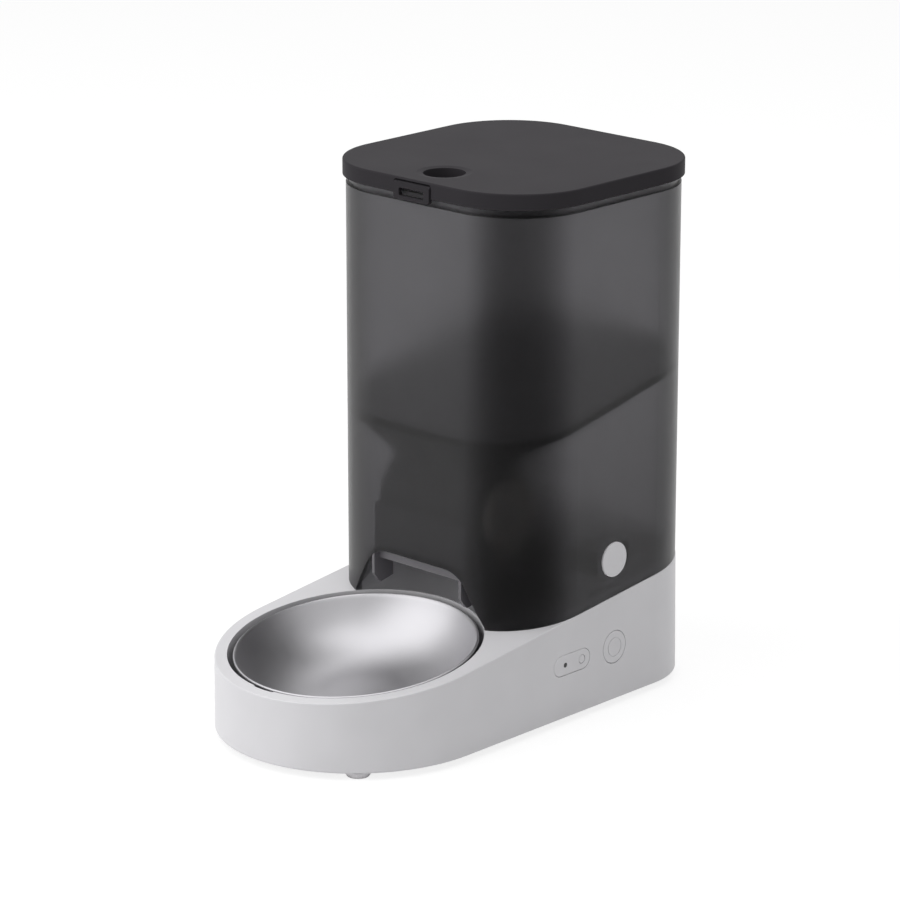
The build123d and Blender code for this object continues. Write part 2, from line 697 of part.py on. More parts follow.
with BuildPart() as motor_cover:
    add(cover_block(0))
    upright = motor_cover.edges().filter_by(Axis.Z).group_by(Axis.Y)[-1]
    fillet(upright, 6)
    # Flange with four screw ears round the foot
    with BuildSketch(Plane.XY.offset(COVER_FOOT_Z)):
        with Locations(*[(x, y) for x in (COVER_X[0] - 3, COVER_X[1] + 3) for y in EAR_Y]):
            Circle(5)
    extrude(amount=EAR_TOP_Z - COVER_FOOT_Z)
    add(cover_block(COVER_WALL), mode=Mode.SUBTRACT)
    # Slot through which the drive gear shows
    with BuildSketch(Plane.XY.offset(COVER_LOW_Z - 6)):
        with Locations((GEAR_X + GEAR_W / 2, DRUM_Y)):
            Rectangle(GEAR_W + 1.6, 28)
    extrude(amount=10, mode=Mode.SUBTRACT)
    # Bore for the gear's pin, in the outer wall
    with BuildSketch(Plane.YZ.offset(COVER_X[1] - 3)):
        with Locations((DRUM_Y, DRIVE_Z)):
            Circle(4.2)
    extrude(amount=3)
    with BuildSketch(Plane.YZ.offset(COVER_X[1] - 4)):
        with Locations((DRUM_Y, DRIVE_Z)):
            Circle(PIN_R)
    extrude(amount=6, mode=Mode.SUBTRACT)
    with BuildSketch(Plane.XY.offset(COVER_FOOT_Z)):
        with Locations(*[(x, y) for x in (COVER_X[0] - 4, COVER_X[1] + 4) for y in EAR_Y]):
            Circle(1.3)
    extrude(amount=30, mode=Mode.SUBTRACT)
    split(bisect_by=DECK, keep=Keep.TOP)
motor_cover.part.label = "motor_cover"
export_step(motor_cover.part, "parts/motor_cover.step")

with BuildPart() as cover_screws:
    for x in (COVER_X[0] - 4, COVER_X[1] + 4):
        for y in EAR_Y:
            with Locations((x, y, EAR_TOP_Z)):
                Cylinder(2.6, 1.8, align=(Align.CENTER, Align.CENTER, Align.MIN))
            with Locations((x, y, deck_z(y) + 0.2)):
                Cylinder(1.3, EAR_TOP_Z - deck_z(y), align=(Align.CENTER, Align.CENTER, Align.MIN))
cover_screws.part.label = "cover_screws"
export_step(cover_screws.part, "parts/cover_screws.step")

with BuildPart() as drive_gear_pin:
    with BuildSketch(Plane.YZ.offset(GEAR_X - 0.4)):
        with Locations((DRUM_Y, DRIVE_Z)):
            Circle(PIN_R)
    extrude(amount=COVER_X[1] - GEAR_X + 0.4)
drive_gear_pin.part.label = "drive_gear_pin"
export_step(drive_gear_pin.part, "parts/drive_gear_pin.step")


def arch_prism(wall):
    """Arched tunnel over the bowl, as far back as the curved wall, a wall's thickness larger all round."""
    with BuildPart() as prism:
        with BuildSketch(Plane.XZ.offset(-HOPPER_FACE_Y + 4)):
            with BuildLine():
                Polyline(
                    (-ARCH_FOOT_HALF - 7.2 - wall, 47),
                    (-ARCH_TOP_HALF - wall, ARCH_TOP_Z + wall),
                    (ARCH_TOP_HALF + wall, ARCH_TOP_Z + wall),
                    (ARCH_FOOT_HALF + 7.2 + wall, 47),
                    close=True,
                )
            top_face = make_face()
            fillet(top_face.vertices().group_by(Axis.Y)[-1], ARCH_R + wall)
        extrude(amount=-40)
        with BuildSketch(Plane.XY.offset(40)):
            with Locations((0, BOWL_Y)):
                Circle(RECESS_R + wall)
        extrude(amount=60, mode=Mode.INTERSECT)
    return prism.part


# Outline of the outlet chute, which drops through the roof of the recess
CHEEK_FRONT = (-17.7, 74.5)
CHEEK_TIP = (-13.0, 68.3)
CHEEK_REAR = (0.0, 70.9)
CHEEK_TIP_R = 2.5
CHUTE_HALF = 36.0
CHUTE_Y = (-13.6, 5.6)
CHUTE_WALL = 2.0
CHUTE_LOW_Z = 84.0
CHUTE_TOP_Z = 118.0


def chute_plan(wall, mode=Mode.ADD):
    """Outline of the chute, cut off behind by the recess's curved wall."""
    with BuildSketch() as plan:
        with Locations((0, sum(CHUTE_Y) / 2)):
            Rectangle(2 * (CHUTE_HALF - wall), CHUTE_Y[1] - CHUTE_Y[0] - 2 * wall)
        with Locations((0, BOWL_Y)):
            Circle(RECESS_R - 0.4 - wall, mode=Mode.INTERSECT)
    return plan.sketch


chute_outline = chute_plan(0)
chute_bore = chute_plan(CHUTE_WALL)

with BuildPart() as hopper_shell:
    with BuildSketch(Plane.XY.offset(HOPPER_CUT_Z)):
        body_plan(HOPPER_HALF, CORNER_R)
    extrude(amount=SHOULDER_Z - HOPPER_CUT_Z)
    with BuildSketch(Plane.XY.offset(SHOULDER_Z)):
        body_plan(NECK_HALF, CORNER_R - HOPPER_HALF + NECK_HALF)
    extrude(amount=RIM_Z - SHOULDER_Z)
    with BuildSketch(Plane.XY.offset(HOPPER_CUT_Z)):
        body_plan(HOPPER_IN, CORNER_R - HOPPER_WALL)
    extrude(amount=RIM_Z, mode=Mode.SUBTRACT)
    # Arched opening over the bowl
    add(arch_prism(0), mode=Mode.SUBTRACT)
    # Neck, catch rib for the lid's latch
    with BuildSketch(Plane.XY.offset(SHOULDER_Z)):
        body_plan(HOPPER_HALF + 1, CORNER_R + 1)
        body_plan(NECK_HALF, CORNER_R - HOPPER_HALF + NECK_HALF, Mode.SUBTRACT)
    extrude(amount=RIM_Z - SHOULDER_Z + 1, mode=Mode.SUBTRACT)
    with BuildSketch(Plane.XY.offset(307)):
        with Locations((0, HOPPER_Y - NECK_HALF - 0.9)):
            Rectangle(17, 1.9)
    extrude(amount=3)
    # Round holes for the release buttons
    with BuildSketch(Plane.YZ.offset(-HOPPER_HALF - 1)):
        with Locations((RELEASE_Y, RELEASE_Z)):
            Circle(RELEASE_R + 0.3)
    extrude(amount=2 * HOPPER_HALF + 2, mode=Mode.SUBTRACT)
    split(bisect_by=DECK, keep=Keep.TOP)
hopper_shell.part.label = "hopper_shell"
export_step(hopper_shell.part, "parts/hopper_shell.step")

# Wall of the recess: its sides, roof and curved back, joined to the front wall round the arch
with BuildPart() as recess_wall:
    add(arch_prism(RECESS_WALL))
    with BuildSketch(Plane.XY.offset(HOPPER_CUT_Z)):
        body_plan(HOPPER_IN, CORNER_R - HOPPER_WALL)
    extrude(amount=80, mode=Mode.INTERSECT)
    add(arch_prism(0), mode=Mode.SUBTRACT)
    with BuildSketch(Plane.XY.offset(ARCH_TOP_Z - 9)):
        add(chute_outline)
    extrude(amount=15, mode=Mode.SUBTRACT)
    split(bisect_by=DECK, keep=Keep.TOP)
recess_wall.part.label = "recess_wall"
export_step(recess_wall.part, "parts/recess_wall.step")

# Funnel from the hopper's walls down to the drum's collar
FUNNEL_RIM = Plane(
    origin=(0, HOPPER_Y, FUNNEL_FRONT_Z + tan(radians(FUNNEL_ANGLE)) * HOPPER_IN),
    x_dir=(1, 0, 0),
    z_dir=(0, -sin(radians(FUNNEL_ANGLE)), cos(radians(FUNNEL_ANGLE))),
)


def funnel_block(wall):
    """Solid inside the funnel's outer face, or a wall's thickness inside that."""
    across = 2 * (HOPPER_IN + 0.4 - wall)
    with BuildPart() as block:
        with BuildSketch(FUNNEL_RIM):
            RectangleRounded(across, across / cos(radians(FUNNEL_ANGLE)), CORNER_R - HOPPER_WALL - wall)
        with BuildSketch(Plane.XY.offset(COLLAR_TOP_Z)):
            with Locations((0, DRUM_Y)):
                RectangleRounded(2 * (DRUM_HALF - wall), 2 * (COLLAR_HALF_Y - wall), 4 - wall)
        loft()
    return block.part


with BuildPart() as funnel_outer:
    add(funnel_block(0))
    with BuildSketch(Plane.XY.offset(120)):
        body_plan(HOPPER_IN, CORNER_R - HOPPER_WALL)
    extrude(amount=120, mode=Mode.INTERSECT)

with BuildPart() as funnel_band:
    with BuildSketch(Plane.XY.offset(140)):
        body_plan(HOPPER_IN, CORNER_R - HOPPER_WALL)
        body_plan(HOPPER_IN - FUNNEL_WALL, CORNER_R - HOPPER_WALL - FUNNEL_WALL, Mode.SUBTRACT)
    extrude(amount=80)
    split(bisect_by=FUNNEL_RIM.offset(FUNNEL_BAND), keep=Keep.BOTTOM)
    split(bisect_by=FUNNEL_RIM, keep=Keep.TOP)

with BuildPart() as hopper_funnel:
    add(funnel_outer.part)
    add(funnel_block(FUNNEL_WALL), mode=Mode.SUBTRACT)
    add(funnel_band.part)
hopper_funnel.part.label = "hopper_funnel"
export_step(hopper_funnel.part, "parts/hopper_funnel.step")

with BuildPart() as drum_housing:
    with BuildSketch(Plane.YZ.offset(-DRUM_HALF)):
        with Locations((DRUM_Y, DRUM_Z)):
            Circle(DRUM_R + DRUM_WALL)
        with Locations((DRUM_Y, (DRUM_Z + COLLAR_TOP_Z) / 2)):
            Rectangle(2 * COLLAR_HALF_Y, COLLAR_TOP_Z - DRUM_Z)
    extrude(amount=2 * DRUM_HALF)
    with BuildSketch(Plane.YZ.offset(-DRUM_HALF)):
        with Locations((DRUM_Y, DRUM_Z)):
            Circle(DRUM_R)
    extrude(amount=2 * DRUM_HALF - DRUM_END, mode=Mode.SUBTRACT)
    with BuildSketch(Plane.YZ.offset(-DRUM_HALF + DRUM_END)):
        with Locations((DRUM_Y, (DRUM_Z + COLLAR_TOP_Z) / 2)):
            Rectangle(2 * (COLLAR_HALF_Y - DRUM_WALL), COLLAR_TOP_Z - DRUM_Z)
    extrude(amount=2 * (DRUM_HALF - DRUM_END), mode=Mode.SUBTRACT)
    # Bearing boss in the gear end, bored for its bush
    with BuildSketch(Plane.YZ.offset(DRUM_HALF - DRUM_END - 0.5)):
        with Locations((DRUM_Y, DRUM_Z)):
            Circle(BUSH_R)
    extrude(amount=DRUM_END + 1, mode=Mode.SUBTRACT)
    # Opening at the low front, over the chute
    with BuildSketch(Plane.XY.offset(90)):
        add(chute_bore)
    extrude(amount=26, mode=Mode.SUBTRACT)
drum_housing.part.label = "drum_housing"
export_step(drum_housing.part, "parts/drum_housing.step")

with BuildPart() as drum_cap:
    with BuildSketch(Plane.YZ.offset(-DRUM_HALF - DRUM_END)):
        with Locations((DRUM_Y, DRUM_Z)):
            Circle(DRUM_R + DRUM_WALL)
    extrude(amount=DRUM_END)
    with BuildSketch(Plane.YZ.offset(-DRUM_HALF)):
        with Locations((DRUM_Y, DRUM_Z)):
            Circle(DRUM_R)
    extrude(amount=DRUM_END - 0.6)
    # Grip bar for turning the cap
    with BuildSketch(Plane.YZ.offset(-DRUM_HALF - DRUM_END)):
        with Locations((DRUM_Y, DRUM_Z)):
            RectangleRounded(34, 7, 3)
            Circle(7)
    extrude(amount=-5)
    with BuildSketch(Plane.YZ.offset(-DRUM_HALF - 4)):
        with Locations((DRUM_Y, DRUM_Z)):
            Circle(BUSH_R)
    extrude(amount=8, mode=Mode.SUBTRACT)
drum_cap.part.label = "drum_cap"
export_step(drum_cap.part, "parts/drum_cap.step")

with BuildPart() as rotor_bushes:
    cap_bush = (-DRUM_HALF - 4, -DRUM_HALF + DRUM_END - 0.6)
    gear_bush = (DRUM_HALF - DRUM_END, DRUM_HALF + 0.6)
    for low_x, high_x in (cap_bush, gear_bush):
        with BuildSketch(Plane.YZ.offset(low_x)):
            with Locations((DRUM_Y, DRUM_Z)):
                Circle(BUSH_R)
                Circle(SHAFT_R + BUSH_GAP, mode=Mode.SUBTRACT)
        extrude(amount=high_x - low_x)
rotor_bushes.part.label = "rotor_bushes"
export_step(rotor_bushes.part, "parts/rotor_bushes.step")

ROTOR_HALF = DRUM_HALF - DRUM_END - 0.8
with BuildPart() as rotor_shaft:
    with BuildSketch(Plane.YZ.offset(-DRUM_HALF - 3)):
        with Locations((DRUM_Y, DRUM_Z)):
            Circle(SHAFT_R)
    extrude(amount=DRUM_HALF + 3 + GEAR_X + GEAR_W)
rotor_shaft.part.label = "rotor_shaft"
export_step(rotor_shaft.part, "parts/rotor_shaft.step")


def blade_profiles(mode=Mode.ADD):
    """Section of the six blades from their slots out to the tips, drawn into the sketch that is open."""
    with Locations((DRUM_Y, DRUM_Z)):
        with PolarLocations((SLOT_R + BLADE_TIP_R) / 2, BLADES, start_angle=30):
            Rectangle(BLADE_TIP_R - SLOT_R, BLADE_T, mode=mode)


with BuildPart() as rotor_hub:
    with BuildSketch(Plane.YZ.offset(-ROTOR_HALF)):
        with Locations((DRUM_Y, DRUM_Z)):
            Circle(HUB_R)
            Circle(SHAFT_R, mode=Mode.SUBTRACT)
        blade_profiles(Mode.SUBTRACT)
    extrude(amount=2 * ROTOR_HALF)
rotor_hub.part.label = "rotor_hub"
export_step(rotor_hub.part, "parts/rotor_hub.step")

with BuildPart() as rotor_blades:
    with BuildSketch(Plane.YZ.offset(-ROTOR_HALF)):
        blade_profiles()
    extrude(amount=2 * ROTOR_HALF)
rotor_blades.part.label = "rotor_blades"
export_step(rotor_blades.part, "parts/rotor_blades.step")

# Two cheeks under the roof of the recess, each ending in a rounded tip over the bowl's rim
with BuildPart() as chute_cheeks:
    with BuildSketch(Plane.YZ.offset(-CHUTE_HALF)):
        with BuildLine():
            Polyline(
                (CHEEK_FRONT[0], ARCH_TOP_Z),
                CHEEK_FRONT,
                CHEEK_TIP,
                CHEEK_REAR,
                (CHEEK_REAR[0], ARCH_TOP_Z),
                close=True,
            )
        cheek_face = make_face()
        fillet(cheek_face.vertices().group_by(Axis.Y)[0], CHEEK_TIP_R)
    extrude(amount=CHUTE_WALL)
    mirror(about=Plane.YZ)
    add(arch_prism(0), mode=Mode.INTERSECT)

with BuildPart() as outlet_chute:
    with BuildSketch(Plane.XY.offset(CHUTE_LOW_Z)):
        add(chute_outline)
        add(chute_bore, mode=Mode.SUBTRACT)
    extrude(amount=DRUM_Z - CHUTE_LOW_Z)
    with BuildSketch(Plane.XY.offset(CHUTE_TOP_Z - CHUTE_WALL)):
        add(chute_outline)
    extrude(amount=CHUTE_WALL)
    with BuildSketch(Plane.YZ.offset(-CHUTE_HALF - 1)):
        with Locations((DRUM_Y, DRUM_Z)):
            Circle(DRUM_R + DRUM_WALL)
    extrude(amount=2 * CHUTE_HALF + 2, mode=Mode.SUBTRACT)
    with BuildSketch(Plane.XY.offset(CHUTE_TOP_Z)):
        Rectangle(100, 60)
    extrude(amount=20, mode=Mode.SUBTRACT)
    add(chute_cheeks.part)
outlet_chute.part.label = "outlet_chute"
export_step(outlet_chute.part, "parts/outlet_chute.step")

# Release button: round cap, flange behind the wall, stem, hook plate and spring pin in one piece
SPRING_X = (63.6, HOOK_X)
with BuildPart() as release_button_right:
    with BuildSketch(Plane.YZ.offset(HOPPER_IN - 0.3)):
        with Locations((RELEASE_Y, RELEASE_Z)):
            Circle(RELEASE_R)
    extrude(amount=HOPPER_WALL + 0.3 + 1.1)
    fillet(release_button_right.faces().sort_by(Axis.X)[-1].edges(), 0.6)
    with BuildSketch(Plane.YZ.offset(HOPPER_IN - 2.3)):
        with Locations((RELEASE_Y, RELEASE_Z)):
            Circle(RELEASE_R + 1.5)
    extrude(amount=2)
    with BuildSketch(Plane.YZ.offset(HOOK_X)):
        with Locations((RELEASE_Y, RELEASE_Z)):
            Circle(4)
    extrude(amount=HOPPER_IN - 2.3 - HOOK_X)
    with BuildSketch(Plane.YZ.offset(HOOK_X)):
        with Locations((RELEASE_Y, 84.6)):
            Rectangle(10, 27)
    extrude(amount=3)
    with BuildSketch(Plane.YZ.offset(HOOK_X + 3)):
        with Locations((RELEASE_Y, HOOK_Z)):
            Rectangle(10, 3.2)
    extrude(amount=1.1)
    with BuildSketch(Plane.YZ.offset(60)):
        with Locations((RELEASE_Y, RELEASE_Z)):
            Circle(1.9)
    extrude(amount=HOOK_X - 60)
release_button_right.part.label = "release_button_right"
export_step(release_button_right.part, "parts/release_button_right.step")

with BuildPart() as release_button_left:
    mirror(release_button_right.part, about=Plane.YZ)
release_button_left.part.label = "release_button_left"
export_step(release_button_left.part, "parts/release_button_left.step")

# Bracket on the hopper's wall round each hook, holding the spring
with BuildPart() as release_brackets:
    with BuildSketch(Plane.XY.offset(84)):
        with Locations(((61.6 + HOPPER_IN) / 2, RELEASE_Y)):
            Rectangle(HOPPER_IN - 61.6, 30)
        with Locations(((61.6 + HOPPER_IN) / 2 + 2, RELEASE_Y)):
            Rectangle(HOPPER_IN - 61.6, 26, mode=Mode.SUBTRACT)
    extrude(amount=14)
    with BuildSketch(Plane.YZ.offset(60)):
        with Locations((RELEASE_Y, RELEASE_Z)):
            Circle(2.4)
    extrude(amount=6, mode=Mode.SUBTRACT)
    mirror(about=Plane.YZ)
release_brackets.part.label = "release_brackets"
export_step(release_brackets.part, "parts/release_brackets.step")

WIRE_R = 0.5
COIL_R = 3.4
COIL_PITCH = 2.2
coil = Helix(
    pitch=COIL_PITCH,
    height=SPRING_X[1] - SPRING_X[0] - 2 * WIRE_R,
    radius=COIL_R,
    center=(SPRING_X[0] + WIRE_R, RELEASE_Y, RELEASE_Z),
    direction=(1, 0, 0),
)
# The wire is drawn with six sides and twelve straight steps to the turn
COIL_STEPS = round(12 * (SPRING_X[1] - SPRING_X[0] - 2 * WIRE_R) / COIL_PITCH)
with BuildPart() as release_spring_right:
    for step in range(COIL_STEPS + 1):
        along = step / COIL_STEPS
        outward = (coil @ along) - Vector((coil @ along).X, RELEASE_Y, RELEASE_Z)
        with BuildSketch(Plane(origin=coil @ along, x_dir=outward, z_dir=coil % along)):
            RegularPolygon(WIRE_R, 6)
    loft(ruled=True)
release_spring_right.part.label = "release_spring_right"
export_step(release_spring_right.part, "parts/release_spring_right.step")

with BuildPart() as release_spring_left:
    mirror(release_spring_right.part, about=Plane.YZ)
release_spring_left.part.label = "release_spring_left"
export_step(release_spring_left.part, "parts/release_spring_left.step")

FINGER_BALL_R = (FINGER_DISH_R**2 + FINGER_DISH_DEPTH**2) / (2 * FINGER_DISH_DEPTH)
with BuildPart() as lid:
    with BuildSketch(Plane.XY.offset(SKIRT_Z)):
        body_plan(LID_HALF, LID_R)
    extrude(amount=LID_TOP_Z - SKIRT_Z)
    fillet(lid.faces().sort_by(Axis.Z)[-1].edges(), 1.0)
    with BuildSketch(Plane.XY.offset(SKIRT_Z)):
        body_plan(LID_HALF - SKIRT_T, LID_R - SKIRT_T)
    extrude(amount=LID_TOP_Z - LID_T - SKIRT_Z, mode=Mode.SUBTRACT)
    # Plug wall that fits the hopper's mouth, with a groove for the seal
    with BuildSketch(Plane.XY.offset(PLUG_Z)):
        body_plan(79.3, 44.2)
        body_plan(77.1, 42.0, Mode.SUBTRACT)
    extrude(amount=LID_TOP_Z - LID_T - PLUG_Z)
    with BuildSketch(Plane.XY.offset(SEAL_Z)):
        body_plan(79.6, 44.5)
        body_plan(78.3, 43.2, Mode.SUBTRACT)
    extrude(amount=SEAL_H, mode=Mode.SUBTRACT)
    # Finger well with a dished edge
    with BuildSketch(Plane.XY.offset(LID_TOP_Z - FINGER_DEPTH - 1.8)):
        with Locations(FINGER_SPOT):
            Circle(FINGER_R + 1.0)
    extrude(amount=FINGER_DEPTH + 0.4)
    with BuildSketch(Plane.XY.offset(LID_TOP_Z)):
        with Locations(FINGER_SPOT):
            Circle(FINGER_R)
    extrude(amount=-FINGER_DEPTH, taper=FINGER_TAPER, mode=Mode.SUBTRACT)
    with Locations((*FINGER_SPOT, LID_TOP_Z - FINGER_DISH_DEPTH + FINGER_BALL_R)):
        Sphere(FINGER_BALL_R, mode=Mode.SUBTRACT)
    # Socket for the drying cup
    with BuildSketch(Plane.XY.offset(302)):
        with Locations((0, DRY_Y)):
            Circle(DRY_R + 2.4)
            Circle(DRY_R + 0.4, mode=Mode.SUBTRACT)
    extrude(amount=LID_TOP_Z - LID_T - 302)
    # Cut-out for the latch with the two bores of its pin
    with BuildSketch(Plane.XZ.offset(-HOPPER_Y + LID_HALF - 4)):
        with Locations((0, (SKIRT_Z - 2 + CUTOUT_TOP_Z) / 2)):
            RectangleRounded(2 * (LATCH_HALF + LATCH_ROOM), CUTOUT_TOP_Z - SKIRT_Z + 2, 1.8)
    extrude(amount=6, mode=Mode.SUBTRACT)
    with BuildSketch(Plane.YZ.offset(-LATCH_HALF - 4)):
        with Locations((LATCH_Y, LATCH_Z[1])):
            Circle(0.65)
    extrude(amount=2 * LATCH_HALF + 8, mode=Mode.SUBTRACT)
lid.part.label = "lid"
export_step(lid.part, "parts/lid.step")

with BuildPart() as lid_seal:
    with BuildSketch(Plane.XY.offset(SEAL_Z)):
        body_plan(79.6, 44.5)
        body_plan(78.3, 43.2, Mode.SUBTRACT)
    extrude(amount=SEAL_H)
lid_seal.part.label = "lid_seal"
export_step(lid_seal.part, "parts/lid_seal.step")

# Latch: a loop hung on a pin, its lower bar hooked under the hopper's catch rib
with BuildPart() as latch:
    with BuildSketch(Plane.XZ.offset(18.5)):
        with Locations((0, (LATCH_Z[0] + LATCH_Z[1] + 1.0) / 2)):
            RectangleRounded(2 * LATCH_HALF, LATCH_Z[1] + 1.0 - LATCH_Z[0], 2)
        with Locations((0, LATCH_SLOT_Z)):
            RectangleRounded(19.4, 4.6, 1, mode=Mode.SUBTRACT)
    extrude(amount=2.6)
    with BuildSketch(Plane.YZ.offset(-LATCH_HALF)):
        with Locations((LATCH_Y, LATCH_Z[1])):
            Circle(1.9)
    extrude(amount=2 * LATCH_HALF)
    with BuildSketch(Plane.YZ.offset(-LATCH_HALF - 1)):
        with Locations((LATCH_Y, LATCH_Z[1])):
            Circle(0.7)
    extrude(amount=2 * LATCH_HALF + 2, mode=Mode.SUBTRACT)
latch.part.label = "latch"
export_step(latch.part, "parts/latch.step")

with BuildPart() as latch_pin:
    with BuildSketch(Plane.YZ.offset(-LATCH_HALF - 3.6)):
        with Locations((LATCH_Y, LATCH_Z[1])):
            Circle(0.65)
    extrude(amount=2 * LATCH_HALF + 7.2)
latch_pin.part.label = "latch_pin"
export_step(latch_pin.part, "parts/latch_pin.step")

# Drying cup under the lid: a slotted cup that twists out of its socket
CUP_LOW_Z = 294.0
with BuildPart() as drying_cup:
    with BuildSketch(Plane.XY.offset(CUP_LOW_Z)):
        with Locations((0, DRY_Y)):
            Circle(DRY_R)
    extrude(amount=LID_TOP_Z - LID_T - 0.4 - CUP_LOW_Z)
    fillet(drying_cup.edges().group_by(Axis.Z)[0], 2)
    with BuildSketch(Plane.XY.offset(CUP_LOW_Z + 1.6)):
        with Locations((0, DRY_Y)):
            Circle(DRY_R - 1.8)
    extrude(amount=30, mode=Mode.SUBTRACT)
    # Two rings of slots let air reach the sachet
    with BuildSketch(Plane.XY.offset(CUP_LOW_Z - 1)):
        with Locations((0, DRY_Y)):
            with PolarLocations(22, 16):
                SlotOverall(14, 2.4)
    extrude(amount=4, mode=Mode.SUBTRACT)
    # Finger bar across the cup's face
    with BuildSketch(Plane.XY.offset(CUP_LOW_Z)):
        with Locations((0, DRY_Y)):
            RectangleRounded(26, 6, 2.5)
    extrude(amount=-4)
drying_cup.part.label = "drying_cup"
export_step(drying_cup.part, "parts/drying_cup.step")

with BuildPart() as drying_sachet:
    with Locations((0, DRY_Y, CUP_LOW_Z + 1.6)):
        Cylinder(DRY_R - 3, 14, align=(Align.CENTER, Align.CENTER, Align.MIN))
    fillet(drying_sachet.edges().filter_by(GeomType.CIRCLE), 4)
drying_sachet.part.label = "drying_sachet"
export_step(drying_sachet.part, "parts/drying_sachet.step")
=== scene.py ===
from math import acos, cos, pi, radians, sin, tan

import bpy
from bpy.props import FloatProperty, FloatVectorProperty, IntProperty, PointerProperty
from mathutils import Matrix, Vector


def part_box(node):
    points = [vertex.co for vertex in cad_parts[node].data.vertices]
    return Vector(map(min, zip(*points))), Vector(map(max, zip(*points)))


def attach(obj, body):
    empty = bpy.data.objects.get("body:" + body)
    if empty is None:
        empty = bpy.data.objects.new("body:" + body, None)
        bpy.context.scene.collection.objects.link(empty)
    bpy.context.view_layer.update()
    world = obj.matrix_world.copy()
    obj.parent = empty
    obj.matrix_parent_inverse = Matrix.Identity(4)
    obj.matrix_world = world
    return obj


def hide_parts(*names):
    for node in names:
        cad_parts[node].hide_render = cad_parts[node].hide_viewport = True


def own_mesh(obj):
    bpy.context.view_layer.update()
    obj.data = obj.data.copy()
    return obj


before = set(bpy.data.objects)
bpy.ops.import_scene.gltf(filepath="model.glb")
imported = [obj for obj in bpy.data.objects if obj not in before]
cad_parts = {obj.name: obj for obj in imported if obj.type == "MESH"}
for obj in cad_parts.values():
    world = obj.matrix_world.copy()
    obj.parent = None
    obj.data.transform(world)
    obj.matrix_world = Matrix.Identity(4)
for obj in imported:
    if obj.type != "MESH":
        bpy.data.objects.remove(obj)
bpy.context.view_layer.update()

bl_info = {
    "name": "Pet feeder",
    "version": (1, 0, 0),
    "blender": (4, 5, 0),
    "location": "View3D > Sidebar > Feeder",
    "description": "Dresses an automatic dry-food feeder: hopper, lid, steel bowl and base",
    "category": "Object",
}

MM = 0.001

# The deck slopes down to the front and passes through the middle of the bowl's mouth
DECK_ORIGIN = Vector((0, -68.1, 53.1)) * MM
DECK_ANGLE = radians(6.56)


def tone(hex_colour):
    """sRGB hex to the linear colour that the shaders take."""
    channels = [int(hex_colour[i : i + 2], 16) / 255 for i in (1, 3, 5)]
    linear = [c / 12.92 if c <= 0.04045 else ((c + 0.055) / 1.055) ** 2.4 for c in channels]
    return (*linear, 1.0)


def colour_choice(name, description, hex_colour):
    """Property for a colour that the user may change."""
    return FloatVectorProperty(
        name=name,
        description=description,
        subtype="COLOR",
        size=4,
        min=0,
        max=1,
        default=tone(hex_colour),
    )


def length_choice(name, description, millimetres):
    """Property for a length that the user may change."""
    return FloatProperty(
        name=name,
        description=description,
        subtype="DISTANCE",
        unit="LENGTH",
        min=0,
        default=millimetres * MM,
    )


class FeederColours(bpy.types.PropertyGroup):
    """Colours of the casings"""

    casing: colour_choice("Casing", "Base, keys and control panel", "#e0dfe2")
    resin: colour_choice("Resin", "Smoky resin, as each wall tints the light", "#d8d7da")
    lid: colour_choice("Lid", "Fine matt plastic of the lid", "#363437")
    steel: colour_choice("Steel", "Spun steel of the bowl", "#b2b1b4")


class FeederBowl(bpy.types.PropertyGroup):
    """Sizes of the spun bowl"""

    mouth: length_choice("Mouth radius", "Radius of the bowl over its lip", 71.3)
    lip: length_choice("Lip width", "Width of the turned-out lip", 1.3)
    lip_height: length_choice("Lip height", "Height of the lip's turned edge", 2.6)
    flat: length_choice("Flat radius", "Radius of the flat in the bottom", 24)
    depth: length_choice("Depth", "From the deck down to the bowl's underside", 33)
    drop: length_choice("Drop", "How far the lip lies below the deck", 0.8)
    sheet: length_choice("Sheet", "Thickness of the steel sheet", 1)
    steps: IntProperty(
        name="Steps", description="Flats round the bowl before smoothing", default=192, min=24
    )


class FeederScrews(bpy.types.PropertyGroup):
    """Sizes of the cross recess in the screw heads"""

    arm: length_choice("Arm width", "Width of one arm of the recess", 0.7)
    deep: length_choice("Depth", "Depth of the recess", 0.7)


class FeederSprings(bpy.types.PropertyGroup):
    """Sizes of the release buttons' coil springs"""

    coil: length_choice("Coil radius", "Radius to the middle of the wire", 3.4)
    wire: length_choice("Wire radius", "Radius of the wire", 0.5)
    free: length_choice("Free length", "Length of a spring at rest, just clear of the button", 7.26)
    pitch: length_choice("Pitch", "From one turn to the next at rest", 2.15)
    travel: length_choice("Travel", "How far a button shortens its spring", 3)


class FeederSachet(bpy.types.PropertyGroup):
    """Sizes of the drying sachet"""

    radius: length_choice("Radius", "Radius over the crimped edge", 32.4)
    crown: length_choice("Crown", "Half the filled sachet's height", 6.8)
    crimp: length_choice("Crimp", "Width of the crimped edge", 2.6)


class FeederStage(bpy.types.PropertyGroup):
    """Lamps and surroundings"""

    key: FloatProperty(
        name="Key", description="Soft box at the front left", unit="POWER", default=34, min=0
    )
    top: FloatProperty(name="Top", description="Soft box overhead", unit="POWER", default=22, min=0)
    fill: FloatProperty(
        name="Fill", description="Even light from the surroundings", default=0.40, min=0
    )


class FeederSettings(bpy.types.PropertyGroup):
    """All that a user would change on the feeder"""

    colours: PointerProperty(type=FeederColours)
    bowl: PointerProperty(type=FeederBowl)
    screws: PointerProperty(type=FeederScrews)
    springs: PointerProperty(type=FeederSprings)
    sachet: PointerProperty(type=FeederSachet)
    stage: PointerProperty(type=FeederStage)


# Materials

# Where nearly all the values of a noise texture fall
NOISE_SPAN = (0.3, 0.7)
# Widths of the slow drifts of tone
PLASTIC_DRIFT = 38 * MM
BOWL_SMEAR = 24 * MM
RESIN_RIPPLE = 55 * MM
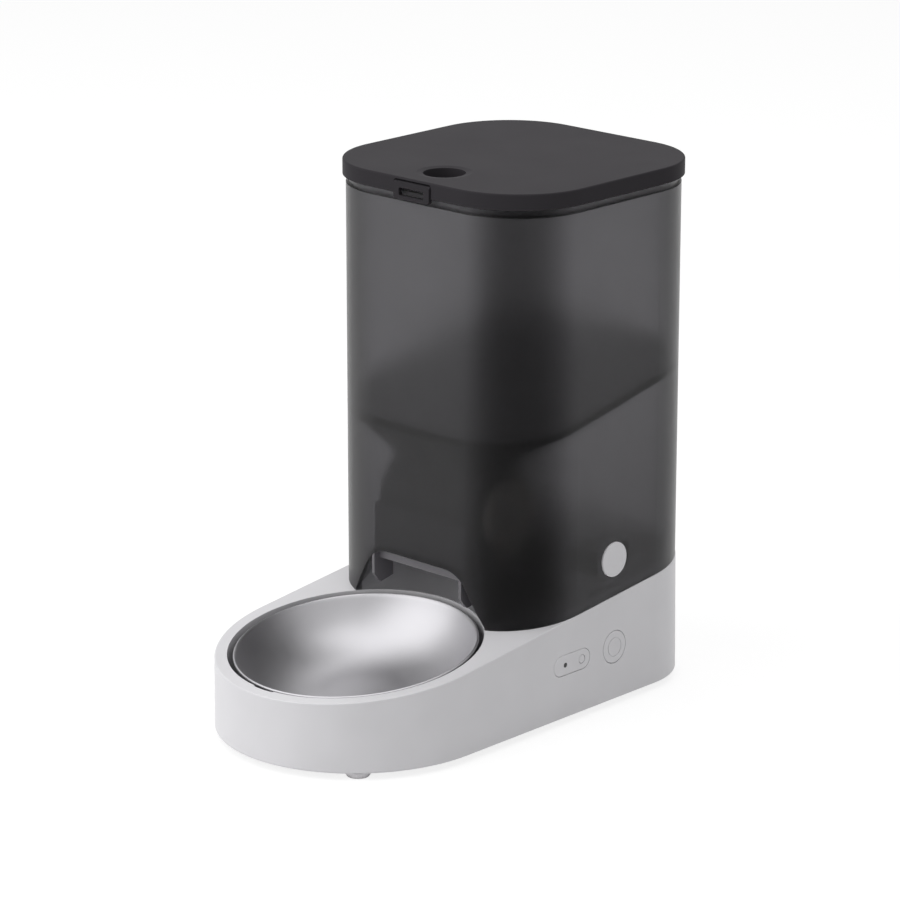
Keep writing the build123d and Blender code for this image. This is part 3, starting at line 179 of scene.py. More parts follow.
# A wave texture repeats every 2 pi over this, along its scaled distance
WAVE_RATE = 20
# Where the resin's painted shade starts and ends, with the hopper's middle at 0 and its sides at 1:
# towards a round corner by x times y, and up from the foot by z
CORNER_SHADE_SPAN = (0.44, 0.7)
FOOT_SHADE_SPAN = (-0.9, 0.3)
# What the resin soaks up along its wall, and the tint that dims its reflection of the white
RESIN_SOAK = "#6c6b6d"
RESIN_GLINT = "#4c4b4d"


def add_node(tree, kind, inputs=None, links=None, **settings):
    """One shader node with its settings, its input values, and the outputs that feed it."""
    made = tree.nodes.new(kind)
    for name, value in settings.items():
        setattr(made, name, value)
    for name, value in (inputs or {}).items():
        made.inputs[name].default_value = value
    for name, (source, output) in (links or {}).items():
        tree.links.new(source.outputs[output], made.inputs[name])
    return made


def empty_material(name):
    """A new material with no nodes yet, and the tree they go into."""
    material = bpy.data.materials.new(name)
    material.use_nodes = True
    material.node_tree.nodes.clear()
    return material, material.node_tree


def set_tones(ramp, colour, spread):
    """Sets a colour ramp's ends to the stated colour, darker and lighter by a share of spread."""
    shares = (1 - spread, 1 + spread)
    for element, position, share in zip(ramp.color_ramp.elements, NOISE_SPAN, shares):
        element.position = position
        element.color = (*[min(1, channel * share) for channel in colour[:3]], 1)


def moulded_plastic(name, colour, roughness, grain, depth, spread=0.025, wear=0.05, **shine):
    """Moulded plastic: a tone that drifts over the part, and a spark-eroded grain.

    grain is the grain's width and depth its height, both in millimetres.
    """
    _, tree = empty_material(name)
    place = add_node(tree, "ShaderNodeTexCoord")
    drift = add_node(
        tree,
        "ShaderNodeTexNoise",
        {"Scale": 1 / PLASTIC_DRIFT, "Detail": 2.0, "Roughness": 0.5},
        {"Vector": (place, "Object")},
    )
    shade = add_node(tree, "ShaderNodeValToRGB", links={"Fac": (drift, "Fac")})
    set_tones(shade, colour, spread)
    pits = add_node(
        tree,
        "ShaderNodeTexNoise",
        {"Scale": 1 / (grain * MM), "Detail": 3.0, "Roughness": 0.6},
        {"Vector": (place, "Object")},
    )
    bump = add_node(
        tree,
        "ShaderNodeBump",
        {"Strength": 0.6, "Distance": depth * MM},
        {"Height": (pits, "Fac")},
    )
    gloss = add_node(
        tree,
        "ShaderNodeMapRange",
        {"To Min": roughness - wear, "To Max": roughness + wear},
        {"Value": (drift, "Fac")},
    )
    surface = add_node(
        tree,
        "ShaderNodeBsdfPrincipled",
        {"IOR": 1.5, **shine},
        {
            "Base Color": (shade, "Color"),
            "Roughness": (gloss, "Result"),
            "Normal": (bump, "Normal"),
        },
    )
    add_node(tree, "ShaderNodeOutputMaterial", links={"Surface": (surface, "BSDF")})


def drawn_metal(name, colour, roughness, line, depth, squash=(1, 1, 1)):
    """Metal with fine lines left by drawing, turning or rolling.

    line is the spacing of the lines and depth their height, both in millimetres. The lines run
    along the axis that squash shrinks.
    """
    _, tree = empty_material(name)
    place = add_node(tree, "ShaderNodeTexCoord")
    lengthways = add_node(
        tree, "ShaderNodeMapping", {"Scale": squash}, {"Vector": (place, "Object")}
    )
    lines = add_node(
        tree,
        "ShaderNodeTexNoise",
        {"Scale": 1 / (line * MM), "Detail": 2.0},
        {"Vector": (lengthways, "Vector")},
    )
    shade = add_node(tree, "ShaderNodeValToRGB", links={"Fac": (lines, "Fac")})
    set_tones(shade, colour, spread=0.08)
    gloss = add_node(
        tree,
        "ShaderNodeMapRange",
        {"To Min": roughness * 0.8, "To Max": roughness * 1.2},
        {"Value": (lines, "Fac")},
    )
    bump = add_node(
        tree,
        "ShaderNodeBump",
        {"Strength": 0.4, "Distance": depth * MM},
        {"Height": (lines, "Fac")},
    )
    surface = add_node(
        tree,
        "ShaderNodeBsdfPrincipled",
        {"Metallic": 1.0},
        {
            "Base Color": (shade, "Color"),
            "Roughness": (gloss, "Result"),
            "Normal": (bump, "Normal"),
        },
    )
    add_node(tree, "ShaderNodeOutputMaterial", links={"Surface": (surface, "BSDF")})


def spun_stainless(name, colour, roughness, ring, depth):
    """Spun and satin-brushed stainless steel, with rings round the bowl's axis.

    ring is the spacing of the rings and depth their height, both in millimetres.
    """
    _, tree = empty_material(name)
    place = add_node(tree, "ShaderNodeTexCoord")
    centred = add_node(
        tree, "ShaderNodeMapping", {"Location": -DECK_ORIGIN}, {"Vector": (place, "Object")}
    )
    square = add_node(
        tree,
        "ShaderNodeMapping",
        {"Rotation": (-DECK_ANGLE, 0, 0)},
        {"Vector": (centred, "Vector")},
    )
    rings = add_node(
        tree,
        "ShaderNodeTexWave",
        {
            "Scale": 2 * pi / (WAVE_RATE * ring * MM),
            "Distortion": 1.2,
            "Detail": 2.0,
            "Detail Scale": 3.0,
        },
        {"Vector": (square, "Vector")},
        wave_type="RINGS",
        rings_direction="Z",
    )
    smear = add_node(
        tree,
        "ShaderNodeTexNoise",
        {"Scale": 1 / BOWL_SMEAR, "Detail": 3.0},
        {"Vector": (square, "Vector")},
    )
    shade = add_node(tree, "ShaderNodeValToRGB", links={"Fac": (smear, "Fac")})
    set_tones(shade, colour, spread=0.03)
    gloss = add_node(
        tree,
        "ShaderNodeMapRange",
        {"To Min": roughness * 0.9, "To Max": roughness * 1.1},
        {"Value": (smear, "Fac")},
    )
    bump = add_node(
        tree,
        "ShaderNodeBump",
        {"Strength": 0.12, "Distance": depth * MM},
        {"Height": (rings, "Fac")},
    )
    surface = add_node(
        tree,
        "ShaderNodeBsdfPrincipled",
        {"Metallic": 1.0},
        {
            "Base Color": (shade, "Color"),
            "Roughness": (gloss, "Result"),
            "Normal": (bump, "Normal"),
        },
    )
    add_node(tree, "ShaderNodeOutputMaterial", links={"Surface": (surface, "BSDF")})


def painted_resin_shade(tree, place, corner_shade, foot):
    """Painted shade over the whole hopper, as the share of the resin's tint that is kept.

    It falls to the corner share in the round corners and to the foot share at the foot.
    """
    low, high = [Vector(point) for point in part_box("hopper_shell")]
    middle, half = (low + high) / 2, (high - low) / 2
    square = add_node(
        tree,
        "ShaderNodeMapping",
        {"Location": [-m / h for m, h in zip(middle, half)], "Scale": [1 / h for h in half]},
        {"Vector": (place, "Object")},
    )
    upright = add_node(tree, "ShaderNodeSeparateXYZ", links={"Vector": (square, "Vector")})
    out = add_node(
        tree, "ShaderNodeVectorMath", links={0: (square, "Vector")}, operation="ABSOLUTE"
    )
    sides = add_node(tree, "ShaderNodeSeparateXYZ", links={"Vector": (out, "Vector")})
    both = add_node(
        tree, "ShaderNodeMath", links={0: (sides, "X"), 1: (sides, "Y")}, operation="MULTIPLY"
    )
    # Painted shade towards the round corners
    painted_corner_shade = add_node(
        tree,
        "ShaderNodeMapRange",
        {
            "From Min": CORNER_SHADE_SPAN[0],
            "From Max": CORNER_SHADE_SPAN[1],
            "To Min": 1.0,
            "To Max": corner_shade,
        },
        {"Value": (both, 0)},
        interpolation_type="SMOOTHSTEP",
    )
    # Painted shade up from the foot
    painted_foot_shade = add_node(
        tree,
        "ShaderNodeMapRange",
        {"From Min": FOOT_SHADE_SPAN[0], "From Max": FOOT_SHADE_SPAN[1], "To Min": foot, "To Max": 1.0},
        {"Value": (upright, "Z")},
        interpolation_type="SMOOTHSTEP",
    )
    return add_node(
        tree,
        "ShaderNodeMath",
        links={0: (painted_corner_shade, "Result"), 1: (painted_foot_shade, "Result")},
        operation="MULTIPLY",
    )


def smoky_resin(name, colour, roughness, density, corner_shade=1.0, foot=1.0, haze=0.0):
    """Smoky clear resin: light passes through, tinted at each face and soaked up along the wall.

    density is how strongly the wall soaks it up, and haze the share of the light that the resin
    scatters back, as where it is less polished.
    """
    _, tree = empty_material(name)
    place = add_node(tree, "ShaderNodeTexCoord")
    ripple = add_node(
        tree,
        "ShaderNodeTexNoise",
        {"Scale": 1 / RESIN_RIPPLE, "Detail": 2.0},
        {"Vector": (place, "Object")},
    )
    even = add_node(tree, "ShaderNodeValToRGB", links={"Fac": (ripple, "Fac")})
    set_tones(even, colour, spread=0.04)
    # Painted shade: the resin's tint is darkened in its round corners and at its foot
    shade = add_node(
        tree,
        "ShaderNodeVectorMath",
        links={0: (even, "Color"), "Scale": (painted_resin_shade(tree, place, corner_shade, foot), 0)},
        operation="SCALE",
    )
    gloss = add_node(
        tree,
        "ShaderNodeMapRange",
        {"To Min": roughness * 0.9, "To Max": roughness * 1.1},
        {"Value": (ripple, "Fac")},
    )
    surface = add_node(
        tree,
        "ShaderNodeBsdfPrincipled",
        {"Transmission Weight": 1 - haze, "IOR": 1.45, "Specular Tint": tone(RESIN_GLINT)},
        {"Base Color": (shade, "Vector"), "Roughness": (gloss, "Result")},
    )
    inside = add_node(
        tree, "ShaderNodeVolumeAbsorption", {"Color": tone(RESIN_SOAK), "Density": density}
    )
    add_node(
        tree,
        "ShaderNodeOutputMaterial",
        links={"Surface": (surface, "BSDF"), "Volume": (inside, "Volume")},
    )


def make_materials(colours):
    """Every finish of the feeder, under the name that the pieces ask for."""
    # White ABS from a lightly textured tool: soft highlights, no grain from afar
    moulded_plastic("moulded_white_abs", colours.casing, roughness=0.38, grain=0.9, depth=0.012)
    # Dark grey ABS of the lid and its latch: a fine matt spark texture keeps the lid's top even
    matt = {"Specular IOR Level": 0.02}
    moulded_plastic(
        "spark_textured_grey_abs", colours.lid, roughness=0.48, grain=0.6, depth=0.03, **matt
    )
    # Charcoal ABS of the chute, whose cheeks show in the arch
    moulded_plastic("moulded_charcoal_abs", tone("#69676b"), roughness=0.42, grain=0.8, depth=0.02)
    # Black ABS of the drum, the release hooks' brackets and the inlet: plain and half matt
    moulded_plastic("moulded_black_abs", tone("#29282a"), roughness=0.4, grain=0.8, depth=0.02)
    # Dark grey ABS of the inner trays and covers: half matt
    moulded_plastic(
        "moulded_inner_grey_abs", tone("#3f3e40"), roughness=0.45, grain=0.8, depth=0.02
    )
    # Acetal gears: waxy, off-white, a touch of light inside
    waxy = {"Subsurface Weight": 0.1, "Subsurface Scale": 0.002}
    moulded_plastic("acetal_gear", tone("#e4e1d8"), roughness=0.3, grain=1.2, depth=0.01, **waxy)
    # Silicone blades: soft, slightly translucent
    soft = {"Subsurface Weight": 0.2, "Subsurface Scale": 0.003}
    moulded_plastic(
        "moulded_silicone", tone("#d4d1cb"), roughness=0.5, grain=1.0, depth=0.015, **soft
    )
    # Rubber of the lid's seal: grey, matt, faintly dusty
    moulded_plastic(
        "moulded_grey_rubber", tone("#979698"), roughness=0.75, grain=0.8, depth=0.05, spread=0.06
    )
    # Rubber of the feet: paler in the photograph than such rubber usually is
    moulded_plastic(
        "moulded_pale_rubber", tone("#dcdadd"), roughness=0.7, grain=0.8, depth=0.05, spread=0.04
    )
    # Glass-epoxy board under green solder mask, and the black chips on it
    moulded_plastic(
        "green_solder_mask", tone("#104028"), roughness=0.32, grain=1.8, depth=0.02, spread=0.1
    )
    moulded_plastic("moulded_black_epoxy", tone("#1e1e1f"), roughness=0.45, grain=0.5, depth=0.02)
    # Smoked lens over the status light: black and glossy
    moulded_plastic(
        "smoked_light_lens", tone("#0f0f10"), roughness=0.12, grain=1.5, depth=0.004, wear=0.02
    )
    # Non-woven paper of the drying sachet, drawn over the beads inside
    moulded_plastic(
        "non_woven_sachet", tone("#e4e1da"), roughness=0.9, grain=2.0, depth=0.35, spread=0.05
    )
    # Bright drawn steel of screws, shafts and springs, its lines along X
    along_x = (0.05, 1, 1)
    drawn_metal(
        "bright_drawn_steel", tone("#c4c3c6"), roughness=0.25, line=0.4, depth=0.01, squash=along_x
    )
    # Sintered brass of the bushes and the motor's pinion: yellowish, faintly grainy
    drawn_metal("sintered_brass", tone("#c19d5b"), roughness=0.35, line=0.3, depth=0.02)
    # Spun stainless steel, satin; its rings are drawn 3.1 mm apart, where real ones are finer
    spun_stainless("spun_stainless_steel", colours.steel, roughness=0.42, ring=3.1416, depth=0.01)
    # Smoky SAN resin: a satin inner face blurs what is behind it, and a slight haze lifts its tone.
    # All its round corners and its foot are darkened with painted shade, set to how dark they look
    smoky_resin(
        "smoky_san_resin",
        colours.resin,
        roughness=0.32,
        density=230.0,
        corner_shade=0.4,
        foot=0.8,
        haze=0.05,
    )
    # The same resin round the arched recess, hazier, and the darker one of the funnel
    smoky_resin("smoky_recess_resin", colours.resin, roughness=0.32, density=210.0, haze=0.2)
    smoky_resin("smoky_funnel_resin", tone("#a09fa2"), roughness=0.4, density=300.0)


NODE_FINISHES = {
    "moulded_white_abs": (
        "base_shell",
        "base_plate",
        "battery_door",
        "control_panel",
        "setup_button",
        "feed_button",
        "release_button_right",
        "release_button_left",
    ),
    "spark_textured_grey_abs": ("lid", "latch"),
    "moulded_charcoal_abs": ("outlet_chute",),
    "moulded_black_abs": ("power_inlet", "drum_housing", "drum_cap", "release_brackets"),
    "moulded_inner_grey_abs": ("battery_tray", "motor_cover", "rotor_hub", "drying_cup"),
    "acetal_gear": ("drive_gear", "rotor_gear"),
    "moulded_silicone": ("rotor_blades",),
    "moulded_grey_rubber": ("lid_seal",),
    "moulded_pale_rubber": ("rubber_feet",),
    "green_solder_mask": ("main_board", "button_board"),
    "moulded_black_epoxy": ("board_parts", "button_switches"),
    "smoked_light_lens": ("status_light",),
    "non_woven_sachet": ("drying_sachet",),
    "bright_drawn_steel": (
        "base_screws",
        "battery_contacts",
        "gear_motor",
        "cover_screws",
        "drive_gear_pin",
        "rotor_shaft",
        "release_spring_right",
        "release_spring_left",
        "latch_pin",
    ),
    "sintered_brass": ("motor_pinion", "rotor_bushes"),
    "spun_stainless_steel": ("bowl",),
    "smoky_san_resin": ("hopper_shell",),
    "smoky_recess_resin": ("recess_wall",),
    "smoky_funnel_resin": ("hopper_funnel",),
}


class FEEDER_OT_finishes(bpy.types.Operator):
    """Makes the materials and gives each carried-over part the one of the real piece"""

    bl_idname = "feeder.finishes"
    bl_label = "Finishes"

    def execute(self, context):
        make_materials(context.scene.feeder.colours)
        for finish, names in NODE_FINISHES.items():
            for name in names:
                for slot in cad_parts[name].material_slots:
                    slot.material = bpy.data.materials[finish]
        return {"FINISHED"}


# Modelling by hand


def draw_profile(name, points):
    """Edge path of (radius, height) points in the XZ plane, extruded from point to point."""
    places = [Vector((radius, 0, height)) for radius, height in points]
    bpy.ops.object.select_all(action="DESELECT")
    bpy.ops.mesh.primitive_plane_add(size=MM, location=places[0])
    piece = bpy.context.object
    piece.name = name
    bpy.ops.object.mode_set(mode="EDIT")
    bpy.ops.mesh.merge(type="CENTER")
    for start, end in zip(places, places[1:]):
        bpy.ops.mesh.extrude_region_move(TRANSFORM_OT_translate={"value": end - start})
    return piece


def spin_profile(piece, steps):
    """Turns the drawn profile once round Z, closes it and points its faces outwards."""
    bpy.ops.mesh.select_all(action="SELECT")
    bpy.ops.mesh.spin(steps=steps, angle=2 * pi, center=(0, 0, 0), axis=(0, 0, 1))
    bpy.ops.mesh.select_all(action="SELECT")
    bpy.ops.mesh.remove_doubles(threshold=0.01 * MM)
    bpy.ops.mesh.select_all(action="SELECT")
    bpy.ops.mesh.normals_make_consistent(inside=False)
    bpy.ops.object.mode_set(mode="OBJECT")
    settle(piece)


def settle(piece):
    """Moves the piece's place and turn into its mesh."""
    bpy.ops.object.select_all(action="DESELECT")
    piece.select_set(True)
    bpy.context.view_layer.objects.active = piece
    bpy.ops.object.transform_apply(location=True, rotation=True, scale=True)


def pick(piece, faces=None, edges=None):
    """Selects in edit mode the faces whose polygon, or the edges whose two ends, pass a test."""
    bpy.ops.mesh.select_mode(type="EDGE" if edges else "FACE")
    bpy.ops.mesh.select_all(action="DESELECT")
    bpy.ops.object.mode_set(mode="OBJECT")
    mesh = piece.data
    for face in mesh.polygons:
        face.select = bool(faces and faces(face))
    if edges:
        for edge in mesh.edges:
            edge.select = edges(*[mesh.vertices[i].co for i in edge.vertices])
    bpy.ops.object.mode_set(mode="EDIT")


def complete(piece, body, slot, finish, *nodes, angle=35):
    """Shades the piece, dresses it, ties it to its body and hides the parts it stands for."""
    settle(piece)
    bpy.ops.object.shade_smooth_by_angle(angle=radians(angle))
    piece.data.materials.clear()
    piece.data.materials.append(bpy.data.materials[finish])
    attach(piece, body)
    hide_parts(*nodes)


def join(pieces, name):
    """Several pieces made one."""
    bpy.ops.object.select_all(action="DESELECT")
    for piece in pieces:
        piece.select_set(True)
    bpy.context.view_layer.objects.active = pieces[0]
    bpy.ops.object.join()
    pieces[0].name = name
    settle(pieces[0])
    return pieces[0]


def copies(piece, places, name):
    """One piece set down at several places, each copy with its own mesh, and joined."""
    made = []
    for place in places:
        bpy.ops.object.select_all(action="DESELECT")
        piece.select_set(True)
        bpy.context.view_layer.objects.active = piece
        bpy.ops.object.duplicate(linked=False)
        bpy.context.object.location = place
        made.append(bpy.context.object)
    bpy.data.objects.remove(piece)
    return join(made, name)


def both_sides(spots):
    """Places on the floor at (x, y) spots in millimetres, left and right of the middle."""
    return [(side * x * MM, y * MM, 0) for x, y in spots for side in (-1, 1)]


def arc(centre, radius, start, end, count):
    """Points along an arc, its angles counted from straight down."""
    turns = [start + (end - start) * i / count for i in range(count + 1)]
    return [(centre[0] + radius * sin(t), centre[1] - radius * cos(t)) for t in turns]


# The bowl's rolled lip: its bend, the angles between which it is rolled, and the step down from
# its top to where the inside of the wall starts
LIP_BEND = 1.1 * MM
LIP_ROLL = (radians(27), radians(164))
LIP_STEP = 0.4 * MM
# Flats along the bowl's wall and round its lip
WALL_FLATS = 28
LIP_FLATS = 10


class FEEDER_OT_bowl(bpy.types.Operator):
    """Bowl spun from steel sheet, with a rolled lip"""

    bl_idname = "feeder.bowl"
    bl_label = "Bowl"

    def execute(self, context):
        size = context.scene.feeder.bowl
        side_top = size.mouth - size.lip
        side_height = size.depth - size.drop - size.lip_height
        side_run = side_top - size.flat
        bend = (side_run**2 + side_height**2) / (2 * side_height)
        turn = acos((bend - side_height) / bend)
        centre = (size.flat, bend - size.depth)
        lip_centre = (size.mouth - LIP_BEND, -size.drop - LIP_BEND)
        profile = [(0, -size.depth)]
        profile += arc(centre, bend, 0, turn, WALL_FLATS)
        profile += arc(lip_centre, LIP_BEND, *LIP_ROLL, LIP_FLATS)
        profile.append((side_top, -size.drop - LIP_STEP))
        profile += arc(centre, bend - size.sheet, turn, 0, WALL_FLATS)
        profile.append((0, -size.depth + size.sheet))
        bowl = draw_profile("spun_bowl", profile)
        spin_profile(bowl, size.steps)
        bowl.rotation_euler = (DECK_ANGLE, 0, 0)
        bowl.location = DECK_ORIGIN
        complete(bowl, "bowl", "stainless", "spun_stainless_steel", "bowl")
        return {"FINISHED"}


# Rubber foot: pad, flare and the stub that snaps into the base plate, as (radius, height) in
# millimetres, and the (x, y) spots of the feet
FOOT_PROFILE = (
    (0, 0.4),
    (3.4, 0.4),
    (3.9, 0.05),
    (4.2, 0),
    (5.9, 0),
    (6.4, 0.12),
    (6.7, 0.5),
    (8.75, 3.75),
    (8.8, 3.95),
    (8.6, 4),
    (3, 4),
    (3, 6.2),
    (2.8, 6.4),
    (0, 6.4),
)
FOOT_SPOTS = ((52, -119), (58, 128))
FOOT_FLATS = 64


class FEEDER_OT_feet(bpy.types.Operator):
    """Four rubber feet with a ringed pad"""

    bl_idname = "feeder.feet"
    bl_label = "Feet"

    def execute(self, context):
        foot = draw_profile("foot", [(r * MM, h * MM) for r, h in FOOT_PROFILE])
        spin_profile(foot, FOOT_FLATS)
        feet = copies(foot, both_sides(FOOT_SPOTS), "ringed_feet")
        complete(feet, "base", "rubber", "moulded_pale_rubber", "rubber_feet")
        return {"FINISHED"}


# Screws: head radius, head height, shank radius and, where it is fixed, shank length
BASE_SCREW = (2.8 * MM, 1.1 * MM, 1.3 * MM, 6.5 * MM)
COVER_SCREW = (2.6 * MM, 1.8 * MM, 1.3 * MM)
HEAD_FLATS = 48
# Rounded edge of a head, and the rim left round its recess, as a share of the radius
HEAD_ROUND = 0.35 * MM
HEAD_RIM = 0.18
# Share of the flat within the rim where a face's middle may lie and still be cut
CUT_SHARE = 0.95
# Slack in telling the top of a head, and how upright a level face's normal is
SLACK = 0.01 * MM
LEVEL = 0.999
# Where the base screws' heads bear, and their (x, y) spots in millimetres
BASE_SCREW_SEAT = 5.2 * MM
BASE_SCREW_SPOTS = ((56, -106), (72, -2), (64, 118))
# The cover's ears end at one height, and their screws stop just above the sloping deck
EAR_TOP = 69 * MM
EAR_COLUMNS = (-34 * MM, 52 * MM)
EAR_ROWS = (24 * MM, 48 * MM)
DECK_GAP = 0.2 * MM


def cross_screw(name, head_radius, head_height, shank_radius, shank_length):
    """Pan-head screw standing on its head's underside at the origin, its cross recess upwards."""
    recess = bpy.context.scene.feeder.screws
    top = head_height - SLACK
    rim = head_radius * HEAD_RIM
    reach = CUT_SHARE * (head_radius - HEAD_ROUND - SLACK - rim)
    half = recess.arm / 2

    def within_rim(face):
        return face.normal.z > LEVEL and face.center.xy.length < reach

    bpy.ops.object.select_all(action="DESELECT")
    bpy.ops.mesh.primitive_cylinder_add(
        vertices=HEAD_FLATS, radius=head_radius, depth=head_height, location=(0, 0, head_height / 2)
    )
    screw = bpy.context.object
    screw.name = name
    settle(screw)
    bpy.ops.object.mode_set(mode="EDIT")
    pick(screw, faces=lambda face: face.normal.z < -LEVEL)
    bpy.ops.mesh.inset(thickness=head_radius - shank_radius)
    bpy.ops.mesh.extrude_region_move(TRANSFORM_OT_translate={"value": (0, 0, -shank_length)})
    pick(screw, edges=lambda a, b: a.z > top and b.z > top)
    bpy.ops.mesh.bevel(offset=HEAD_ROUND, segments=4)
    pick(screw, faces=lambda face: face.normal.z > LEVEL and face.center.z > top)
    bpy.ops.mesh.inset(thickness=rim)
    for along in ((1, 0, 0), (0, 1, 0)):
        for side in (-half, half):
            pick(screw, faces=within_rim)
            bpy.ops.mesh.bisect(plane_co=Vector(along) * side, plane_no=along)
    pick(
        screw,
        faces=lambda face: within_rim(face)
        and min(abs(face.center.x), abs(face.center.y)) < half,
    )
    bpy.ops.mesh.extrude_region_move(TRANSFORM_OT_translate={"value": (0, 0, -recess.deep)})
    bpy.ops.object.mode_set(mode="OBJECT")
    return screw


class FEEDER_OT_screws(bpy.types.Operator):
    """Cross-headed screws under the base and on the motor's cover"""

    bl_idname = "feeder.screws"
    bl_label = "Screws"

    def execute(self, context):
        small = cross_screw("base_screw", *BASE_SCREW)
        small.rotation_euler = (pi, 0, 0)
        small.location = (0, 0, BASE_SCREW_SEAT)
        settle(small)
        under = copies(small, both_sides(BASE_SCREW_SPOTS), "cross_base_screws")
        complete(under, "base", "steel", "bright_drawn_steel", "base_screws", angle=30)
        pairs = []
        for y in EAR_ROWS:
            deck = DECK_ORIGIN.z + tan(DECK_ANGLE) * (y - DECK_ORIGIN.y)
            large = cross_screw("cover_screw", *COVER_SCREW, EAR_TOP - deck - DECK_GAP)
            pairs.append(copies(large, [(x, y, EAR_TOP) for x in EAR_COLUMNS], "cover_screw_pair"))
        above = join(pairs, "cross_cover_screws")
        complete(above, "base", "steel", "bright_drawn_steel", "cover_screws", angle=30)
        return {"FINISHED"}


# Where the right spring stands on its bracket; the left one is its mirror image
SPRING_FOOT = Vector((63.67, 62, 91)) * MM
WIRE_FLATS = 12
TURN_FLATS = 32


def wind_spring(name, size, way):
    """Round wire wound along X from the origin, to the right where way is 1, to the left at -1."""
    bpy.ops.object.select_all(action="DESELECT")
    bpy.ops.mesh.primitive_circle_add(
        vertices=WIRE_FLATS,
        radius=size.wire,
        location=(0, 0, size.coil),
        rotation=(pi / 2, 0, 0),
    )
    spring = bpy.context.object
    spring.name = name
    settle(spring)
    run = size.free - 2 * size.wire
    turns = run / size.pitch
    winding = spring.modifiers.new("winding", "SCREW")
    winding.axis = "X"
    winding.angle = 2 * pi * turns
    winding.screw_offset = way * run
    winding.steps = winding.render_steps = round(TURN_FLATS * turns)
    bpy.ops.object.modifier_apply(modifier=winding.name)
    bpy.ops.object.mode_set(mode="EDIT")
    bpy.ops.mesh.select_mode(type="VERT")
    bpy.ops.mesh.select_all(action="SELECT")
    bpy.ops.mesh.fill_holes(sides=0)
    bpy.ops.mesh.select_all(action="SELECT")
    bpy.ops.mesh.normals_make_consistent(inside=False)
    bpy.ops.object.mode_set(mode="OBJECT")
    return spring


class FEEDER_OT_springs(bpy.types.Operator):
    """Coil springs behind the release buttons, at their length at rest; they don't shorten as the
    buttons go in
    """

    bl_idname = "feeder.springs"
    bl_label = "Release springs"

    def execute(self, context):
        size = context.scene.feeder.springs
        for side, way in (("right", 1), ("left", -1)):
            anchor = Vector((way * SPRING_FOOT.x, SPRING_FOOT.y, SPRING_FOOT.z))
            spring = wind_spring(f"coil_spring_{side}", size, way)
            spring.location = anchor + Vector((way * size.wire, 0, 0))
            complete(spring, "hopper", "steel", "bright_drawn_steel", f"release_spring_{side}")
            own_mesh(spring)
        return {"FINISHED"}


# Sachet: half the crimped edge's thickness, the powers that make the pillow's middle flat and its
# edge steep, the depth of the dents from the beads, and where its underside lies in the cup
CRIMP_HALF = 0.3 * MM
PILLOW_MIDDLE = 3
PILLOW_EDGE = 0.6
PILLOW_ROWS = 20
SACHET_FLATS = 72
BEAD_DENTS = 0.22 * MM
SACHET_Y = 88 * MM
SACHET_BOTTOM = 295.8 * MM


class FEEDER_OT_sachet(bpy.types.Operator):
    """Drying sachet: two crowned sheets over the beads, crimped together round the edge"""

    bl_idname = "feeder.sachet"
    bl_label = "Drying sachet"

    def execute(self, context):
        size = context.scene.feeder.sachet
        full = size.radius - size.crimp
        lower = []
        for i in range(PILLOW_ROWS + 1):
            share = sin(i / PILLOW_ROWS * pi / 2)
            crown = size.crown * (1 - share**PILLOW_MIDDLE) ** PILLOW_EDGE
            lower.append((full * share, -max(crown, CRIMP_HALF)))
        rim = [(size.radius, -CRIMP_HALF), (size.radius, CRIMP_HALF)]
        upper = [(radius, -height) for radius, height in reversed(lower)]
        sachet = draw_profile("crimped_sachet", lower + rim + upper)
        spin_profile(sachet, SACHET_FLATS)
        bpy.ops.object.mode_set(mode="EDIT")
        bpy.ops.mesh.select_all(action="SELECT")
        bpy.ops.transform.vertex_random(offset=BEAD_DENTS, seed=3)
        bpy.ops.mesh.vertices_smooth(factor=0.5, repeat=2)
        bpy.ops.object.mode_set(mode="OBJECT")
        sachet.location = (0, SACHET_Y, SACHET_BOTTOM + size.crown)
        complete(sachet, "drying_cup", "sachet", "non_woven_sachet", "drying_sachet", angle=60)
        return {"FINISHED"}


# Stage, in metres: the floor, the point that the lamps face, and each soft box's place and side
FLOOR_RADIUS = 6
LAMP_AIM = Vector((0, 0, 0.15))
KEY_PLACE, KEY_SIDE = Vector((-1.1, -1.9, 1.3)), 2.9
TOP_PLACE, TOP_SIDE = Vector((0, 0, 2.2)), 2.4
# Greys of the floor: as it lights the feeder, and as it is seen with its shadow, which the glow
# lifts to white
FLOOR_PAPER = (0.8, 0.8, 0.8, 1)
FLOOR_SHADOW = (0.3, 0.3, 0.3, 1)
FLOOR_GLOW = 0.8
WHITE = (1, 1, 1, 1)
# Camera fitted to the outlines in the photograph, its lens and sensor in millimetres
CAMERA_PLACE = Vector((1.4889, -1.5626, 0.8106))
CAMERA_AIM = Vector((0.00495, 0.00587, 0.15356))
CAMERA_LENS = 155.37
CAMERA_SENSOR = 36


def seen_directly(tree):
    """1 for rays from the camera, from gloss or through clear parts.

    It is 0 for the rays that light a surface.
    """
    ray = add_node(tree, "ShaderNodeLightPath")
    gloss = add_node(
        tree,
        "ShaderNodeMath",
        links={0: (ray, "Is Glossy Ray"), 1: (ray, "Is Transmission Ray")},
        operation="MAXIMUM",
    )
    return add_node(
        tree,
        "ShaderNodeMath",
        links={0: (ray, "Is Camera Ray"), 1: (gloss, 0)},
        operation="MAXIMUM",
    )


def white_surroundings(fill):
    """Even light of a chosen strength, which shows as plain white."""
    world = bpy.data.worlds.new("studio")
    bpy.context.scene.world = world
    world.use_nodes = True
    tree = world.node_tree
    tree.nodes.clear()
    light = add_node(tree, "ShaderNodeBackground", {"Color": WHITE, "Strength": fill})
    white = add_node(tree, "ShaderNodeBackground", {"Color": WHITE, "Strength": 1.0})
    both = add_node(
        tree,
        "ShaderNodeMixShader",
        links={"Fac": (seen_directly(tree), 0), 1: (light, 0), 2: (white, 0)},
    )
    add_node(tree, "ShaderNodeOutputWorld", links={"Surface": (both, 0)})


